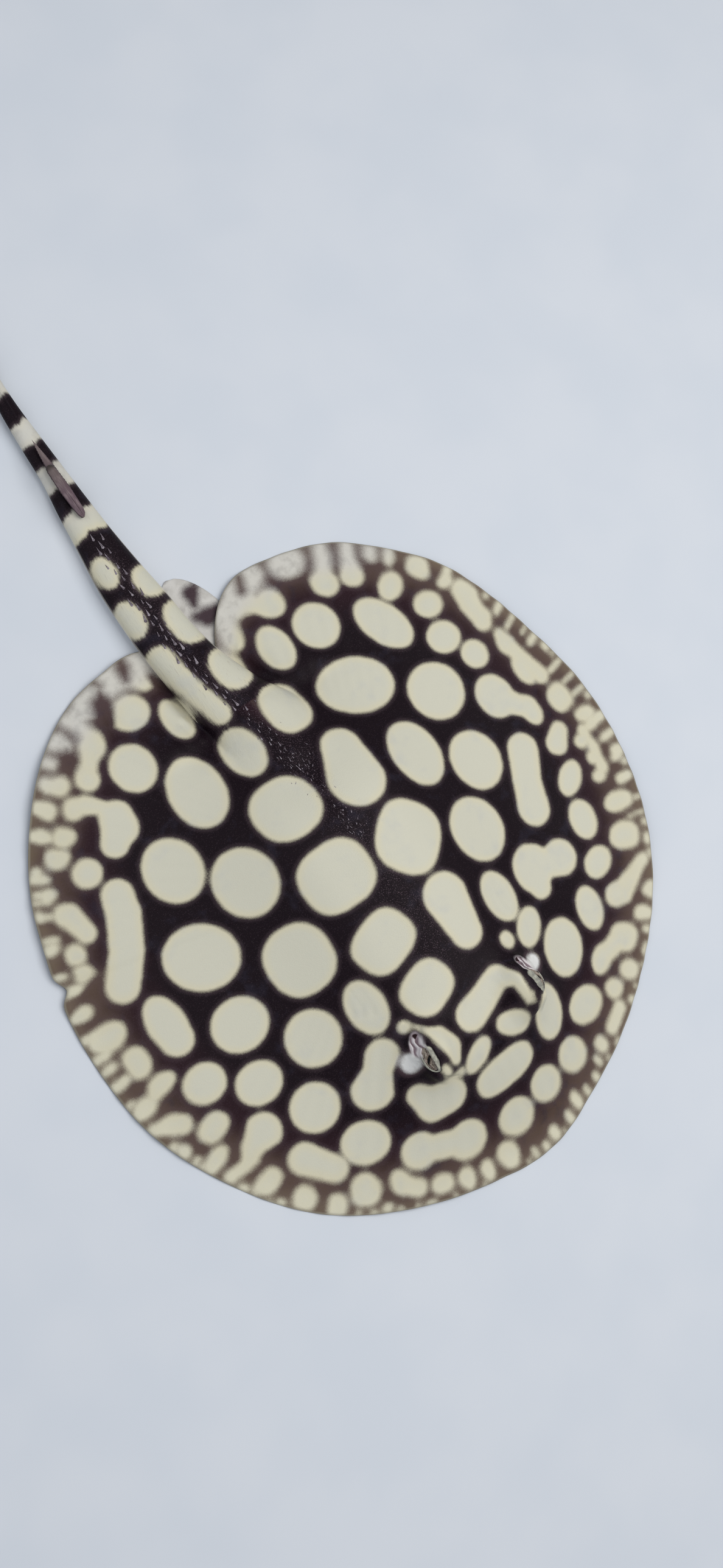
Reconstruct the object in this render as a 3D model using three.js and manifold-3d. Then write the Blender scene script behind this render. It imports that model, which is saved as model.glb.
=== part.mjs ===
// A freshwater stingray with a polka-dotted disc, life size, as a still model that lies on its
// belly. Units are millimetres. The origin is on the floor under the middle of the disc, +Y
// points to the snout, +X to the animal's right and +Z up.
//
// The flesh is one smooth body parted by thin cuts: head, trunk, two pectoral wings, two pelvic
// fins and three lengths of tail. Eyes, the two tail stings and the tail's skin folds are
// pieces of their own.
import * as THREE from 'three';
import { mergeVertices } from 'three/addons/utils/BufferGeometryUtils.js';
import Module from 'manifold-3d';

const wasm = await Module();
wasm.setup();

// ---- driving dimensions --------------------------------------------------------------------
const CUT = 0.3; // width of the thin cut between two neighbouring pieces
const RAD = Math.PI / 180;

// Outline of the disc: its radius at chosen angles from the snout, positive to the animal's
// right. The two sides differ because one wing is spread more than the other.
const RIM = [
  [-180, 172], [-165, 176.5], [-150, 183.5], [-140, 182.5], [-130, 181], [-120, 175.5], [-110, 171],
  [-95, 169.8], [-75, 167], [-55, 165.4], [-35, 164.2], [-15, 168], [-4, 173.2], [3, 173.8], [10, 172],
  [25, 171], [42, 171.8], [60, 169.3], [75, 168.8], [90, 166.5], [110, 167.2], [120, 170], [132, 172.5],
  [145, 175.5], [155, 175.5], [165, 170.5], [180, 172],
];
// The rear lobes turn in to the tail: degrees from the snout, and how far in.
const LOBE = { start: 163, span: 12.6, tuck: 21, power: 2.4 };

// Small nicks in the rim, and where it is lifted gently off the floor:
// [angle, spread, millimetres].
const NICKS = [
  [104, 1.6, -4.6],
];
const LIFTS = [
  [112, 13, 3.6],
  [139, 12, 4.4],
  [74, 10, 1.6],
  [-68, 16, 2.6],
  [-118, 18, 2.4],
  [24, 12, 1.4],
];

// Thickness of the wings from the rim to the body, and the dome of the trunk on top of them.
const WING = { rim: 1.5, rise: 27, power: 1.7 };
const DOME = { height: 22, half: 58, power: 2.5, front: 163, frontFull: 92, rear: -105, rearFull: -30 };

// Orbital bulge, eyeball and the spiracle behind it; x is to either side of the midline.
const EYE = { x: 31, y: 90.7, z: 43.5, radius: 6.8 };
const BULGE = { x: 28.5, y: 90.5, halfX: 11, halfY: 15, height: 13.2 };
const SPIRACLE = { x: 34.6, y: 79.5, z: 37, rx: 3.4, ry: 6.5, rz: 6 };

// Stations of the trunk and tail: y, centre x, half width, top height, underside height.
const TAIL = [
  [-60, 0, 44, 38, 0],
  [-80, 0, 34, 33, 0],
  [-100, 0.5, 26.5, 28, 0],
  [-120, 7, 20.5, 24, 0],
  [-140, 11.5, 17.3, 20.5, 0],
  [-160, 14, 16, 18, 0],
  [-180, 15, 15.2, 16.5, 0],
  [-200, 15.8, 13.6, 15, 0],
  [-224, 15.4, 10.9, 13.2, 0],
  [-244, 14.9, 9.1, 12, 0.8],
  [-264, 14, 7.2, 11, 1.6],
  [-284, 13.9, 6.2, 10.2, 2.1],
  [-304, 13.6, 5.1, 9.6, 2.5],
  [-320, 12.4, 4.2, 9, 2.7],
  [-350, 9, 3.3, 8.2, 2.8],
  [-380, 4.5, 2.6, 7.2, 2.6],
  [-410, -1, 1.9, 6, 2.2],
  [-440, -7.5, 1, 4.4, 1.6],
];

// Half width of head and trunk, where the cuts to the wings run.
const HEAD_BACK = 58;
const TAIL_START = -100;
const SIDE = [
  [TAIL_START, 26.5],
  [-80, 33],
  [-50, 45],
  [-15, 54],
  [20, 55],
  [HEAD_BACK, 47],
];

// ---- small maths ---------------------------------------------------------------------------
const mix = (a, b, t) => a + (b - a) * t;
const clamp01 = (t) => Math.min(1, Math.max(0, t));
const ease = (from, to, v) => {
  const t = clamp01((v - from) / (to - from));
  return t * t * (3 - 2 * t);
};

// Smooth curve through rows of [key, value, value...], read at a key.
function along(rows, key) {
  const sign = rows[0][0] < rows[rows.length - 1][0] ? 1 : -1;
  const last = rows.length - 1;
  const inside = Math.min(Math.max(sign * key, sign * rows[0][0]), sign * rows[last][0]) * sign;
  let i = 0;
  while (i < last - 1 && sign * inside > sign * rows[i + 1][0]) i++;
  const [a, b, c, d] = [rows[Math.max(i - 1, 0)], rows[i], rows[i + 1], rows[Math.min(i + 2, last)]];
  const t = (inside - b[0]) / (c[0] - b[0]);
  return b.slice(1).map((_, k) => {
    const slopeB = ((c[k + 1] - a[k + 1]) / (c[0] - a[0])) * (c[0] - b[0]);
    const slopeC = ((d[k + 1] - b[k + 1]) / (d[0] - b[0])) * (c[0] - b[0]);
    const t2 = t * t;
    const t3 = t2 * t;
    return (
      (2 * t3 - 3 * t2 + 1) * b[k + 1] + (t3 - 2 * t2 + t) * slopeB +
      (3 * t2 - 2 * t3) * c[k + 1] + (t3 - t2) * slopeC
    );
  });
}

// ---- the body's form -----------------------------------------------------------------------
// Sum of soft bumps round the rim: rows of [angle, spread, size].
const bumps = (rows, angle) => rows.reduce((sum, [at, spread, size]) => {
  return sum + size * Math.exp(-(((angle - at) / spread) ** 2));
}, 0);

// Radius of the disc's rim at an angle in degrees from the snout, positive to the right.
function rimRadius(angle) {
  const tuck = Math.max(0, (Math.abs(angle) - LOBE.start) / LOBE.span);
  return along(RIM, angle)[0] + bumps(NICKS, angle) - LOBE.tuck * tuck ** LOBE.power;
}

// The angle at which the front rim has a given x.
function frontAngle(x) {
  let low = -60;
  let high = 60;
  for (let i = 0; i < 40; i++) {
    const middle = (low + high) / 2;
    if (rimRadius(middle) * Math.sin(middle * RAD) < x) low = middle;
    else high = middle;
  }
  return low;
}
const rimFront = (x) => rimRadius(frontAngle(x)) * Math.cos(frontAngle(x) * RAD);

// The rim's lift fades out towards the body.
const LIFT_FROM = 0.62;
function rimLift(angle, share) {
  return bumps(LIFTS, angle) * ease(LIFT_FROM, 1, share);
}

// The lobes behind the trunk ride on the pelvic fins, which reach this far beside the tail.
const FIN_ROOM = { height: 2.7, from: -97, full: -110, near: 44, far: 62 };
function finLift(x, y) {
  const [centre] = along(TAIL, y);
  const beside = 1 - ease(FIN_ROOM.near, FIN_ROOM.far, Math.abs(x - centre));
  return FIN_ROOM.height * ease(FIN_ROOM.from, FIN_ROOM.full, y) * beside;
}

function underside(x, y) {
  const angle = Math.atan2(x, y) / RAD;
  const share = Math.hypot(x, y) / rimRadius(angle);
  return rimLift(angle, share) + finLift(x, y);
}

// Behind the trunk the lobes thin out towards the tail as they do towards the rim.
const LOBE_THIN = { from: -86, full: -132, reach: 17 };
// The root of the tail rises out of the disc, with a soft line between the two.
const RIDGE = { from: -50, full: -75, power: 2.2, blend: 5 };

function wingHeight(x, y, share) {
  const [centre, half] = along(TAIL, y);
  const beside = Math.max(0, Math.abs(x - centre) - half);
  const thin = ease(LOBE_THIN.from, LOBE_THIN.full, y) * Math.exp(-beside / LOBE_THIN.reach);
  return WING.rise * (1 - share ** WING.power) * (1 - thin);
}

function domeHeight(x, y) {
  const ends = ease(DOME.front, DOME.frontFull, y) * ease(DOME.rear, DOME.rearFull, y);
  return DOME.height * Math.exp(-((Math.abs(x) / DOME.half) ** DOME.power)) * ends;
}

function bulgeHeight(x, y) {
  const across = (Math.abs(x) - BULGE.x) / BULGE.halfX;
  const forward = (y - BULGE.y) / BULGE.halfY;
  return BULGE.height * Math.exp(-(across ** 2) - forward ** 2);
}

function topside(x, y) {
  const angle = Math.atan2(x, y) / RAD;
  const share = Math.min(1, Math.hypot(x, y) / rimRadius(angle));
  const disc =
    underside(x, y) + WING.rim + wingHeight(x, y, share) + domeHeight(x, y) + bulgeHeight(x, y);
  if (y >= RIDGE.from) return disc;
  const [centre, half, tailTop] = along(TAIL, y);
  const across = clamp01(1 - (Math.abs(x - centre) / half) ** RIDGE.power);
  const ridge = tailTop * Math.sqrt(across);
  const t = clamp01(0.5 + (ridge - disc) / (2 * RIDGE.blend));
  const joined = mix(disc, ridge, t) + RIDGE.blend * t * (1 - t);
  return mix(disc, joined, ease(RIDGE.from, RIDGE.full, y));
}

// ---- from surfaces to closed meshes --------------------------------------------------------
// Closed geometry from two grids of points, above and below, that meet in a wall all round.
function shell(rows, columns, above, below) {
  const points = [];
  const index = (side, i, j) => side * (rows + 1) * (columns + 1) + i * (columns + 1) + j;
  for (const side of [above, below]) {
    for (let i = 0; i <= rows; i++) {
      for (let j = 0; j <= columns; j++) points.push(...side(i / rows, j / columns));
    }
  }
  const faces = [];
  const quad = (a, b, c, d) => faces.push(a, b, c, a, c, d);
  for (let i = 0; i < rows; i++) {
    for (let j = 0; j < columns; j++) {
      quad(index(0, i, j), index(0, i + 1, j), index(0, i + 1, j + 1), index(0, i, j + 1));
      quad(index(1, i, j), index(1, i, j + 1), index(1, i + 1, j + 1), index(1, i + 1, j));
    }
  }
  for (let i = 0; i < rows; i++) {
    quad(index(0, i, 0), index(1, i, 0), index(1, i + 1, 0), index(0, i + 1, 0));
    quad(index(0, i + 1, columns), index(1, i + 1, columns), index(1, i, columns), index(0, i, columns));
  }
  for (let j = 0; j < columns; j++) {
    quad(index(0, 0, j + 1), index(1, 0, j + 1), index(1, 0, j), index(0, 0, j));
    quad(index(0, rows, j), index(1, rows, j), index(1, rows, j + 1), index(0, rows, j + 1));
  }
  return closed(points, faces);
}

// Closed geometry from rings of points that are joined one to the next and capped at both ends.
function loft(rings) {
  const size = rings[0].length;
  const points = rings.flat(2);
  const faces = [];
  for (let i = 0; i < rings.length - 1; i++) {
    for (let j = 0; j < size; j++) {
      const [a, b] = [i * size + j, i * size + ((j + 1) % size)];
      faces.push(a, b, b + size, a, b + size, a + size);
    }
  }
  const end = (rings.length - 1) * size;
  for (let j = 1; j < size - 1; j++) {
    faces.push(0, j + 1, j);
    faces.push(end, end + j, end + j + 1);
  }
  return closed(points, faces);
}

// Merges equal points, drops collapsed faces and turns the faces outwards.
function closed(points, faces) {
  const raw = new THREE.BufferGeometry()
    .setAttribute('position', new THREE.Float32BufferAttribute(points, 3))
    .setIndex(faces);
  const merged = mergeVertices(raw, 1e-3);
  const at = merged.getAttribute('position');
  const old = merged.getIndex().array;
  const kept = [];
  let volume = 0;
  const [a, b, c] = [new THREE.Vector3(), new THREE.Vector3(), new THREE.Vector3()];
  for (let i = 0; i < old.length; i += 3) {
    const [p, q, r] = old.slice(i, i + 3);
    if (p === q || q === r || r === p) continue;
    kept.push(p, q, r);
    volume += a.fromBufferAttribute(at, p).dot(
      b.fromBufferAttribute(at, q).cross(c.fromBufferAttribute(at, r)),
    );
  }
  if (volume < 0) {
    for (let i = 0; i < kept.length; i += 3) [kept[i + 1], kept[i + 2]] = [kept[i + 2], kept[i + 1]];
  }
  return new THREE.BufferGeometry().setAttribute('position', at).setIndex(kept);
}

function solid(geometry) {
  const bare = new THREE.BufferGeometry().setAttribute('position', geometry.getAttribute('position'));
  if (geometry.getIndex()) bare.setIndex(geometry.getIndex());
  const merged = mergeVertices(bare, 1e-4);
  return new wasm.Manifold(
    new wasm.Mesh({
      numProp: 3,
      vertProperties: new Float32Array(merged.getAttribute('position').array),
      triVerts: new Uint32Array(merged.getIndex().array),
    }),
  );
}

function geometryOf(manifold) {
  const mesh = manifold.getMesh();
  return new THREE.BufferGeometry()
    .setAttribute('position', new THREE.BufferAttribute(mesh.vertProperties, 3))
    .setIndex(new THREE.BufferAttribute(mesh.triVerts, 1));
}

function ellipsoid(rx, ry, rz, x, y, z, fineness = 12) {
  return new THREE.SphereGeometry(1, fineness, Math.round(fineness * 0.7))
    .scale(rx, ry, rz)
    .translate(x, y, z);
}

// ---- head and trunk ------------------------------------------------------------------------
function trunkSide(y, side) {
  const [half] = along(SIDE, Math.min(y, HEAD_BACK));
  const [centre] = along(TAIL, y);
  return side * half + centre * ease(-60, TAIL_START, y);
}

const between = (columns) => (place) => shell(
  columns.rows, columns.across,
  (s, t) => { const [x, y] = place(s, t); return [x, y, topside(x, y)]; },
  (s, t) => { const [x, y] = place(s, t); return [x, y, underside(x, y)]; },
);

// The tool for a groove in the underside: a bar with round ends that reaches up into the flesh.
function groove(length, width, depth, x, y, turn) {
  return new THREE.CapsuleGeometry(1, 2, 2, 6)
    .scale(width / 2, length / 4, depth)
    .rotateZ(turn * RAD)
    .translate(x, y, 0);
}

const MOUTH = { y: 111, half: 12, depth: 1.6, width: 2.4 };
const NOSTRIL = { x: 10.5, y: 121, length: 9, width: 2.4, turn: 58 };
const GILLS = { count: 5, first: 80, step: 11.5, x: 33, inward: 2.6, length: 9, width: 1.4, turn: 66 };
const VENT = { y: -88, length: 13, width: 2 };

// Five pairs of gill slits, the last of them on the trunk.
function cutGills(flesh) {
  let made = flesh;
  for (const side of [-1, 1]) {
    for (let i = 0; i < GILLS.count; i++) {
      const x = side * (GILLS.x - i * GILLS.inward);
      const y = GILLS.first - i * GILLS.step;
      made = made.subtract(solid(groove(GILLS.length, GILLS.width, MOUTH.depth, x, y, side * GILLS.turn)));
    }
  }
  return made;
}

function head() {
  const half = trunkSide(HEAD_BACK, 1);
  const body = between({ rows: 15, across: 18 })((s, t) => {
    const x = mix(-half, half, t);
    return [x, mix(HEAD_BACK + CUT / 2, rimFront(x), s)];
  });
  let made = solid(body);
  for (const side of [-1, 1]) {
    const socket = EYE.radius + CUT;
    const eyeX = side * EYE.x;
    const spiracleX = side * SPIRACLE.x;
    made = made.subtract(solid(ellipsoid(socket, socket, socket, eyeX, EYE.y, EYE.z)));
    made = made.subtract(solid(
      ellipsoid(SPIRACLE.rx, SPIRACLE.ry, SPIRACLE.rz, spiracleX, SPIRACLE.y, SPIRACLE.z, 10),
    ));
    made = made.subtract(solid(
      groove(NOSTRIL.length, NOSTRIL.width, MOUTH.depth, side * NOSTRIL.x, NOSTRIL.y, side * NOSTRIL.turn),
    ));
  }
  made = made.subtract(solid(groove(2 * MOUTH.half, MOUTH.width, MOUTH.depth, 0, MOUTH.y, 90)));
  return geometryOf(cutGills(made));
}

function trunk() {
  const body = between({ rows: 18, across: 14 })((s, t) => {
    const y = mix(TAIL_START, HEAD_BACK - CUT / 2, s);
    return [mix(trunkSide(y, -1), trunkSide(y, 1), t), y];
  });
  const vent = groove(VENT.length, VENT.width, MOUTH.depth, 0, VENT.y, 0);
  return geometryOf(cutGills(solid(body)).subtract(solid(vent)));
}

// ---- pectoral wings ------------------------------------------------------------------------
// side is 1 for the animal's right and -1 for its left. The left lobe stands off the tail a
// little, so that the pelvic fin shows there.
const LOBE_END = { 1: 170, '-1': 175.5 };
const LOBE_GAP = { 1: 0, '-1': 5.5 };

function wing(side) {
  const firstAngle = frontAngle(side * (trunkSide(HEAD_BACK, 1) + CUT));
  const lastAngle = side * LOBE_END[side];
  const firstY = rimRadius(firstAngle) * Math.cos(firstAngle * RAD);
  const lastY = rimRadius(lastAngle) * Math.cos(lastAngle * RAD);
  const inner = (s) => {
    const y = mix(firstY, lastY, s);
    if (y > TAIL_START) return [trunkSide(y, side) + side * CUT, y];
    const [centre, half] = along(TAIL, y);
    const gap = LOBE_GAP[side] * ease(-104, -142, y);
    return [centre + side * (half + CUT + gap), y];
  };
  const place = (s, t) => {
    const angle = mix(firstAngle, lastAngle, s);
    const radius = rimRadius(angle);
    const outer = [radius * Math.sin(angle * RAD), radius * Math.cos(angle * RAD)];
    const from = s === 1 ? outer : inner(s);
    return [mix(from[0], outer[0], t), mix(from[1], outer[1], t)];
  };
  return between({ rows: 40, across: 8 })(place);
}

// ---- tail ----------------------------------------------------------------------------------
// One egg-shaped section of the tail, wide and low at the root and upright towards the tip.
const TAIL_SIDES = 16;
const WIDEST = 0.42; // share of the tail's height at which it is widest
const FLAT = 0.7; // how far the round underside is cut off flat
function tailRing(y) {
  const [centre, half, top, under] = along(TAIL, y);
  const middle = under + (top - under) * WIDEST;
  const ring = [];
  for (let j = 0; j < TAIL_SIDES; j++) {
    const a = (2 * Math.PI * (j + 0.5)) / TAIL_SIDES;
    const up = Math.sin(a);
    const below = Math.max(under, 0, middle + (middle - under + FLAT) * up);
    const z = up > 0 ? mix(middle, top, up) : below;
    ring.push([centre + half * Math.cos(a), y, z]);
  }
  return ring;
}

const ROOT_END = -190;
const MIDDLE_END = -300;
const TIP = -440;
function tailLength(from, to, steps) {
  return loft(Array.from({ length: steps + 1 }, (_, i) => tailRing(mix(from, to, i / steps))));
}

// A thin skin fold along the tail's middle line, above or below it.
const FOLD = { thick: 0.9, edge: 0.7, steps: 14 };
function tailFold(from, to, edge, floor) {
  const rings = [];
  for (let i = 0; i <= FOLD.steps; i++) {
    const t = i / FOLD.steps;
    const y = mix(from, to, t);
    const [centre] = along(TAIL, y);
    const [low, high] = [floor(y, t), edge(y, t)];
    const thick = FOLD.thick / 2;
    rings.push([
      [centre - thick, y, low], [centre + thick, y, low],
      [centre + thick * FOLD.edge, y, high], [centre - thick * FOLD.edge, y, high],
    ]);
  }
  return loft(rings);
}

const UPPER_FOLD = { from: -296, to: -428, height: 2.6 };
const LOWER_FOLD = { from: -236, to: -430 };

function upperFold() {
  const base = (y) => along(TAIL, y)[2] + CUT;
  return tailFold(UPPER_FOLD.from, UPPER_FOLD.to, (y, t) => {
    return base(y) + 0.5 + UPPER_FOLD.height * Math.sin(Math.PI * Math.min(1, 0.08 + t)) ** 0.6;
  }, base);
}

function lowerFold() {
  return tailFold(LOWER_FOLD.from, LOWER_FOLD.to, (y) => {
    const [, , , under] = along(TAIL, y);
    return Math.max(0.35, under - CUT);
  }, () => 0);
}

// ---- stings --------------------------------------------------------------------------------
// A flat dagger with barbs on both edges that point back to its root.
function sting({ length, width, thick, barbs, blunt }) {
  const shape = new THREE.Shape();
  const body = length * 0.42;
  const half = (v) => (width / 2) * (v < body ? mix(0.72, 1, Math.sin((v / body) * Math.PI / 2)) :
    Math.max(blunt, 1 - ((v - body) / (length - body)) ** 1.5));
  const edge = [[half(0), 0], [half(body * 0.5), body * 0.5], [half(body), body]];
  for (let i = 0; i < barbs; i++) {
    const v = mix(body, length * 0.97, (i + 0.5) / barbs);
    edge.push([half(v) + 0.22, v - 0.5], [half(v) - 0.12, v]);
  }
  shape.moveTo(-edge[0][0], 0);
  edge.forEach(([w, v]) => shape.lineTo(w, v));
  shape.lineTo(0, length);
  edge.toReversed().forEach(([w, v]) => shape.lineTo(-w, v));
  const geometry = new THREE.ExtrudeGeometry(shape, {
    depth: thick * 0.5, bevelEnabled: true, bevelThickness: thick * 0.25, bevelSize: 0.18,
    bevelOffset: -0.18, bevelSegments: 1,
  });
  return geometry.rotateZ(Math.PI);
}

const STING_ROOT = -238;
const STINGS = [
  {
    name: 'sting_lower', length: 45, width: 5, thick: 1.5, barbs: 9, blunt: 0.06,
    lift: 0.5, rise: 1.2, turn: -0.6,
  },
  {
    name: 'sting_upper', length: 31, width: 5.2, thick: 1.6, barbs: 6, blunt: 0.4,
    lift: 2.5, rise: 2.2, turn: 2,
  },
];

// ---- pelvic fins ---------------------------------------------------------------------------
// A paddle that lies on the floor beside the tail's root: root and tip are in the plan.
const PELVIC = {
  left: { side: -1, root: [-17, -104.5], tip: [-4.5, -187], rootHalf: 5.5, half: 12.5, bow: -3 },
  right: { side: 1, root: [29, -104.5], tip: [44, -156], rootHalf: 6, half: 11, bow: 3 },
};
const FIN_THICK = { root: 2, rim: 0.8 };
// Along its length, as shares of it, a fin swells up to its full width and then rounds off.
const FIN_SHAPE = { full: 0.55, roundFrom: 0.62, power: 2.4, rows: 12, across: 6 };
// Across its width a fin is thickest in the middle; its edges keep this share of the arch.
const FIN_ARCH = 0.12;

function pelvicFin({ root, tip, rootHalf, half, bow }, grown = 0) {
  const direction = new THREE.Vector2(tip[0] - root[0], tip[1] - root[1]);
  const length = direction.length();
  direction.normalize();
  const normal = new THREE.Vector2(-direction.y, direction.x);
  const halfWidth = (s) => {
    const round = Math.max(0, (s - FIN_SHAPE.roundFrom) / (1 - FIN_SHAPE.roundFrom)) ** FIN_SHAPE.power;
    return mix(rootHalf, half, ease(0, FIN_SHAPE.full, s)) * Math.sqrt(Math.max(0, 1 - round));
  };
  const place = (s, t) => {
    const v = s * length;
    const w = (2 * t - 1) * (halfWidth(s) + grown) + bow * Math.sin(Math.PI * s);
    return [root[0] + direction.x * v + normal.x * w, root[1] + direction.y * v + normal.y * w];
  };
  const height = (s, t) => {
    const arch = Math.sin(Math.PI * mix(FIN_ARCH, 1 - FIN_ARCH, t));
    return mix(FIN_THICK.rim, FIN_THICK.root, (1 - s) * arch);
  };
  return shell(FIN_SHAPE.rows, FIN_SHAPE.across,
    (s, t) => [...place(s, t), height(s, t) + grown],
    (s, t) => [...place(s, t), -grown]);
}

// ---- the model -----------------------------------------------------------------------------
const skin = new THREE.MeshStandardMaterial({ color: 0x2c1d24, roughness: 0.42, metalness: 0 });
const iris = new THREE.MeshStandardMaterial({ color: 0x6f675c, roughness: 0.12, metalness: 0 });
const spine = new THREE.MeshStandardMaterial({ color: 0x78666a, roughness: 0.5, metalness: 0 });

const ray = new THREE.Group();
function add(name, geometry, material, place = (mesh) => mesh) {
  const mesh = new THREE.Mesh(geometry, material);
  mesh.name = name;
  place(mesh);
  ray.add(mesh);
}

// The room the tail's root takes up, with its cut: wings and fins are cut back to it.
const ROOM = { rings: 28, past: 20, wider: 1.5 * CUT, above: CUT, below: 2 * CUT, flank: 6 };
const tailRoom = solid(loft(Array.from({ length: ROOM.rings + 1 }, (_, i) => {
  const ring = tailRing(mix(TAIL_START - CUT / 2, ROOT_END - ROOM.past, i / ROOM.rings));
  const [centre] = along(TAIL, ring[0][1]);
  return ring.map(([x, y, z]) => {
    return [x + Math.sign(x - centre) * ROOM.wider, y, z > ROOM.flank ? z + ROOM.above : z - ROOM.below];
  });
})));

add('head', head(), skin);
add('trunk', trunk(), skin);
for (const [name, fin] of Object.entries(PELVIC)) {
  const finRoom = solid(pelvicFin(fin, CUT));
  add(`wing_${name}`, geometryOf(solid(wing(fin.side)).subtract(tailRoom).subtract(finRoom)), skin);
  add(`pelvic_fin_${name}`, geometryOf(solid(pelvicFin(fin)).subtract(tailRoom)), skin);
}

add('tail_root', tailLength(TAIL_START - CUT, ROOT_END, 14), skin);
add('tail_middle', tailLength(ROOT_END - CUT, MIDDLE_END, 14), skin);
add('tail_tip', tailLength(MIDDLE_END - CUT, TIP, 16), skin);
add('tail_fold_upper', upperFold(), skin);
add('tail_fold_lower', lowerFold(), skin);

for (const [name, side] of [['right', 1], ['left', -1]]) {
  add(`eye_${name}`, ellipsoid(EYE.radius, EYE.radius, EYE.radius, 0, 0, 0), iris, (mesh) => {
    mesh.position.set(side * EYE.x, EYE.y, EYE.z);
  });
}

for (const { name, lift, rise, turn, ...form } of STINGS) {
  add(name, sting(form), spine, (mesh) => {
    const [centre, , top] = along(TAIL, STING_ROOT);
    mesh.position.set(centre, STING_ROOT, top + lift);
    mesh.rotation.set(-rise * RAD, 0, turn * RAD);
  });
}

export default ray;
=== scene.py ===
import math

import bpy
import numpy as np
from mathutils import Matrix, Vector


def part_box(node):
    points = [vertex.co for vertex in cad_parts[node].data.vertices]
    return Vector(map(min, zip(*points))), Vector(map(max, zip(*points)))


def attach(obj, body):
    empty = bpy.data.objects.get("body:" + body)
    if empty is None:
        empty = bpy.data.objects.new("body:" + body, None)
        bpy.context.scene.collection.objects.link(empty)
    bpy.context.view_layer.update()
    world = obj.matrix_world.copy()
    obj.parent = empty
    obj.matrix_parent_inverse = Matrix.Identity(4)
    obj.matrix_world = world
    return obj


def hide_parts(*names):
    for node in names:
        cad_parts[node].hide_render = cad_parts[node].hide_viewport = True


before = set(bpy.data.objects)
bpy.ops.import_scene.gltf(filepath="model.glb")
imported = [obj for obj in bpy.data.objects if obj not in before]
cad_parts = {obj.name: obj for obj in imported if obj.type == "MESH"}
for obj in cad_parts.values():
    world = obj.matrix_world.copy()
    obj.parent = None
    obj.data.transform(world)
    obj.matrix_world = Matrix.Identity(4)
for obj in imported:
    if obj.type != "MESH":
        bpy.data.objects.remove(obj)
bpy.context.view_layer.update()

# A black freshwater stingray with pale spots, lying on its belly. One skin covers the whole
# animal; the eyes, the two tail stings and the thorns along the back are pieces of their own.
# The form is worked out in millimetres, with the snout to +Y and the animal's right to +X, and
# laid down in metres.
MM = 0.001
DEG = math.pi / 180
RNG = np.random.default_rng(11)

# ---- driving dimensions --------------------------------------------------------------------
# Outline of the disc: its radius at chosen angles from the snout, positive to the right. One
# wing is spread more than the other.
RIM = np.array([
    (-180, 172), (-165, 176.5), (-150, 183.5), (-140, 182.5), (-130, 181), (-120, 175.5), (-110, 171),
    (-95, 169.8), (-75, 167), (-55, 165.4), (-35, 164.2), (-15, 168), (-4, 173.2), (3, 173.8), (10, 172),
    (25, 171), (42, 171.8), (60, 169.3), (75, 168.8), (90, 166.5), (110, 167.2), (120, 170), (132, 172.5),
    (145, 175.5), (155, 175.5), (165, 170.5), (180, 172),
])
DISC_RADIUS = 171.0  # its mean
TUCK = {"from": 163.0, "span": 12.6, "size": 21.0, "power": 2.4}
NICKS = ((104, 1.6, -4.6),)
LIFTS = (
    (112, 13, 3.6), (139, 12, 4.4), (74, 10, 1.6), (-68, 16, 2.6), (-118, 18, 2.4), (24, 12, 1.4),
)
LIFT_FROM = 0.62  # the share of the way to the rim where its lifts begin

RIM_THICK, RIM_EDGE = 1.5, 0.75  # the wing at the rim, and its very edge
WING_RISE, WING_POWER = 27.0, 1.7
LOBE_THIN = {"run": (-86, -132), "reach": 17}  # the rear lobes thin out towards the tail
DOME = {"height": 22.0, "half": 58.0, "power": 2.5, "front": (163, 92), "rear": (-105, -30)}
BULGE = {"x": 28.5, "y": 90.5, "half_x": 11.0, "half_y": 15.0, "height": 13.2}
# The root of the tail rises out of the disc as a ridge, and parts from it behind.
RIDGE = {"rise": (-50, -75), "part": (-104, -126), "power": 2.2, "soft": 5}
FIN_ROOM = {"height": 2.7, "run": (-97, -110), "beside": (44, 62)}  # the lobes ride on the fins
COAT = 0.3  # the skin lies this far inside the flesh, and the thorns stand on it

# Stations of the trunk and tail, tip first: y, centre x, half width, top height, underside height.
TAIL = np.array([
    (-440, -7.5, 1.0, 4.4, 1.6), (-410, -1.0, 1.9, 6.0, 2.2), (-380, 4.5, 2.6, 7.2, 2.6),
    (-350, 9.0, 3.3, 8.2, 2.8), (-320, 12.4, 4.2, 9.0, 2.7), (-304, 13.6, 5.1, 9.6, 2.5),
    (-284, 13.9, 6.2, 10.2, 2.1), (-264, 14.0, 7.2, 11.0, 1.6), (-244, 14.9, 9.1, 12.0, 0.8),
    (-224, 15.4, 10.9, 13.2, 0.0), (-200, 15.8, 13.6, 15.0, 0.0), (-180, 15.0, 15.2, 16.5, 0.0),
    (-160, 14.0, 16.0, 18.0, 0.0), (-140, 11.5, 17.3, 20.5, 0.0), (-120, 7.0, 20.5, 24.0, 0.0),
    (-100, 0.5, 26.5, 28.0, 0.0), (-80, 0.0, 34.0, 33.0, 0.0), (-60, 0.0, 44.0, 38.0, 0.0),
])
TAIL_TIP, TAIL_BURIED = -440.0, -62.0
TAIL_WAIST = 0.42  # the share of its height at which the tail is widest


# ---- the body's form -----------------------------------------------------------------------
def ease(start, end, value):
    t = np.clip((value - start) / (end - start), 0, 1)
    return t * t * (3 - 2 * t)


def mix(a, b, t):
    return a + (b - a) * t


def hill(distance, reach):
    """A soft bump: 1 at no distance, and about a third of it at the reach."""
    return np.exp(-((distance / reach) ** 2))


def join_soft(a, b, soft=1.1):
    """The larger of two values, rounded off where they meet."""
    h = np.clip(0.5 + (a - b) / (2 * soft), 0, 1)
    return mix(b, a, h) + soft * h * (1 - h)


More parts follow.
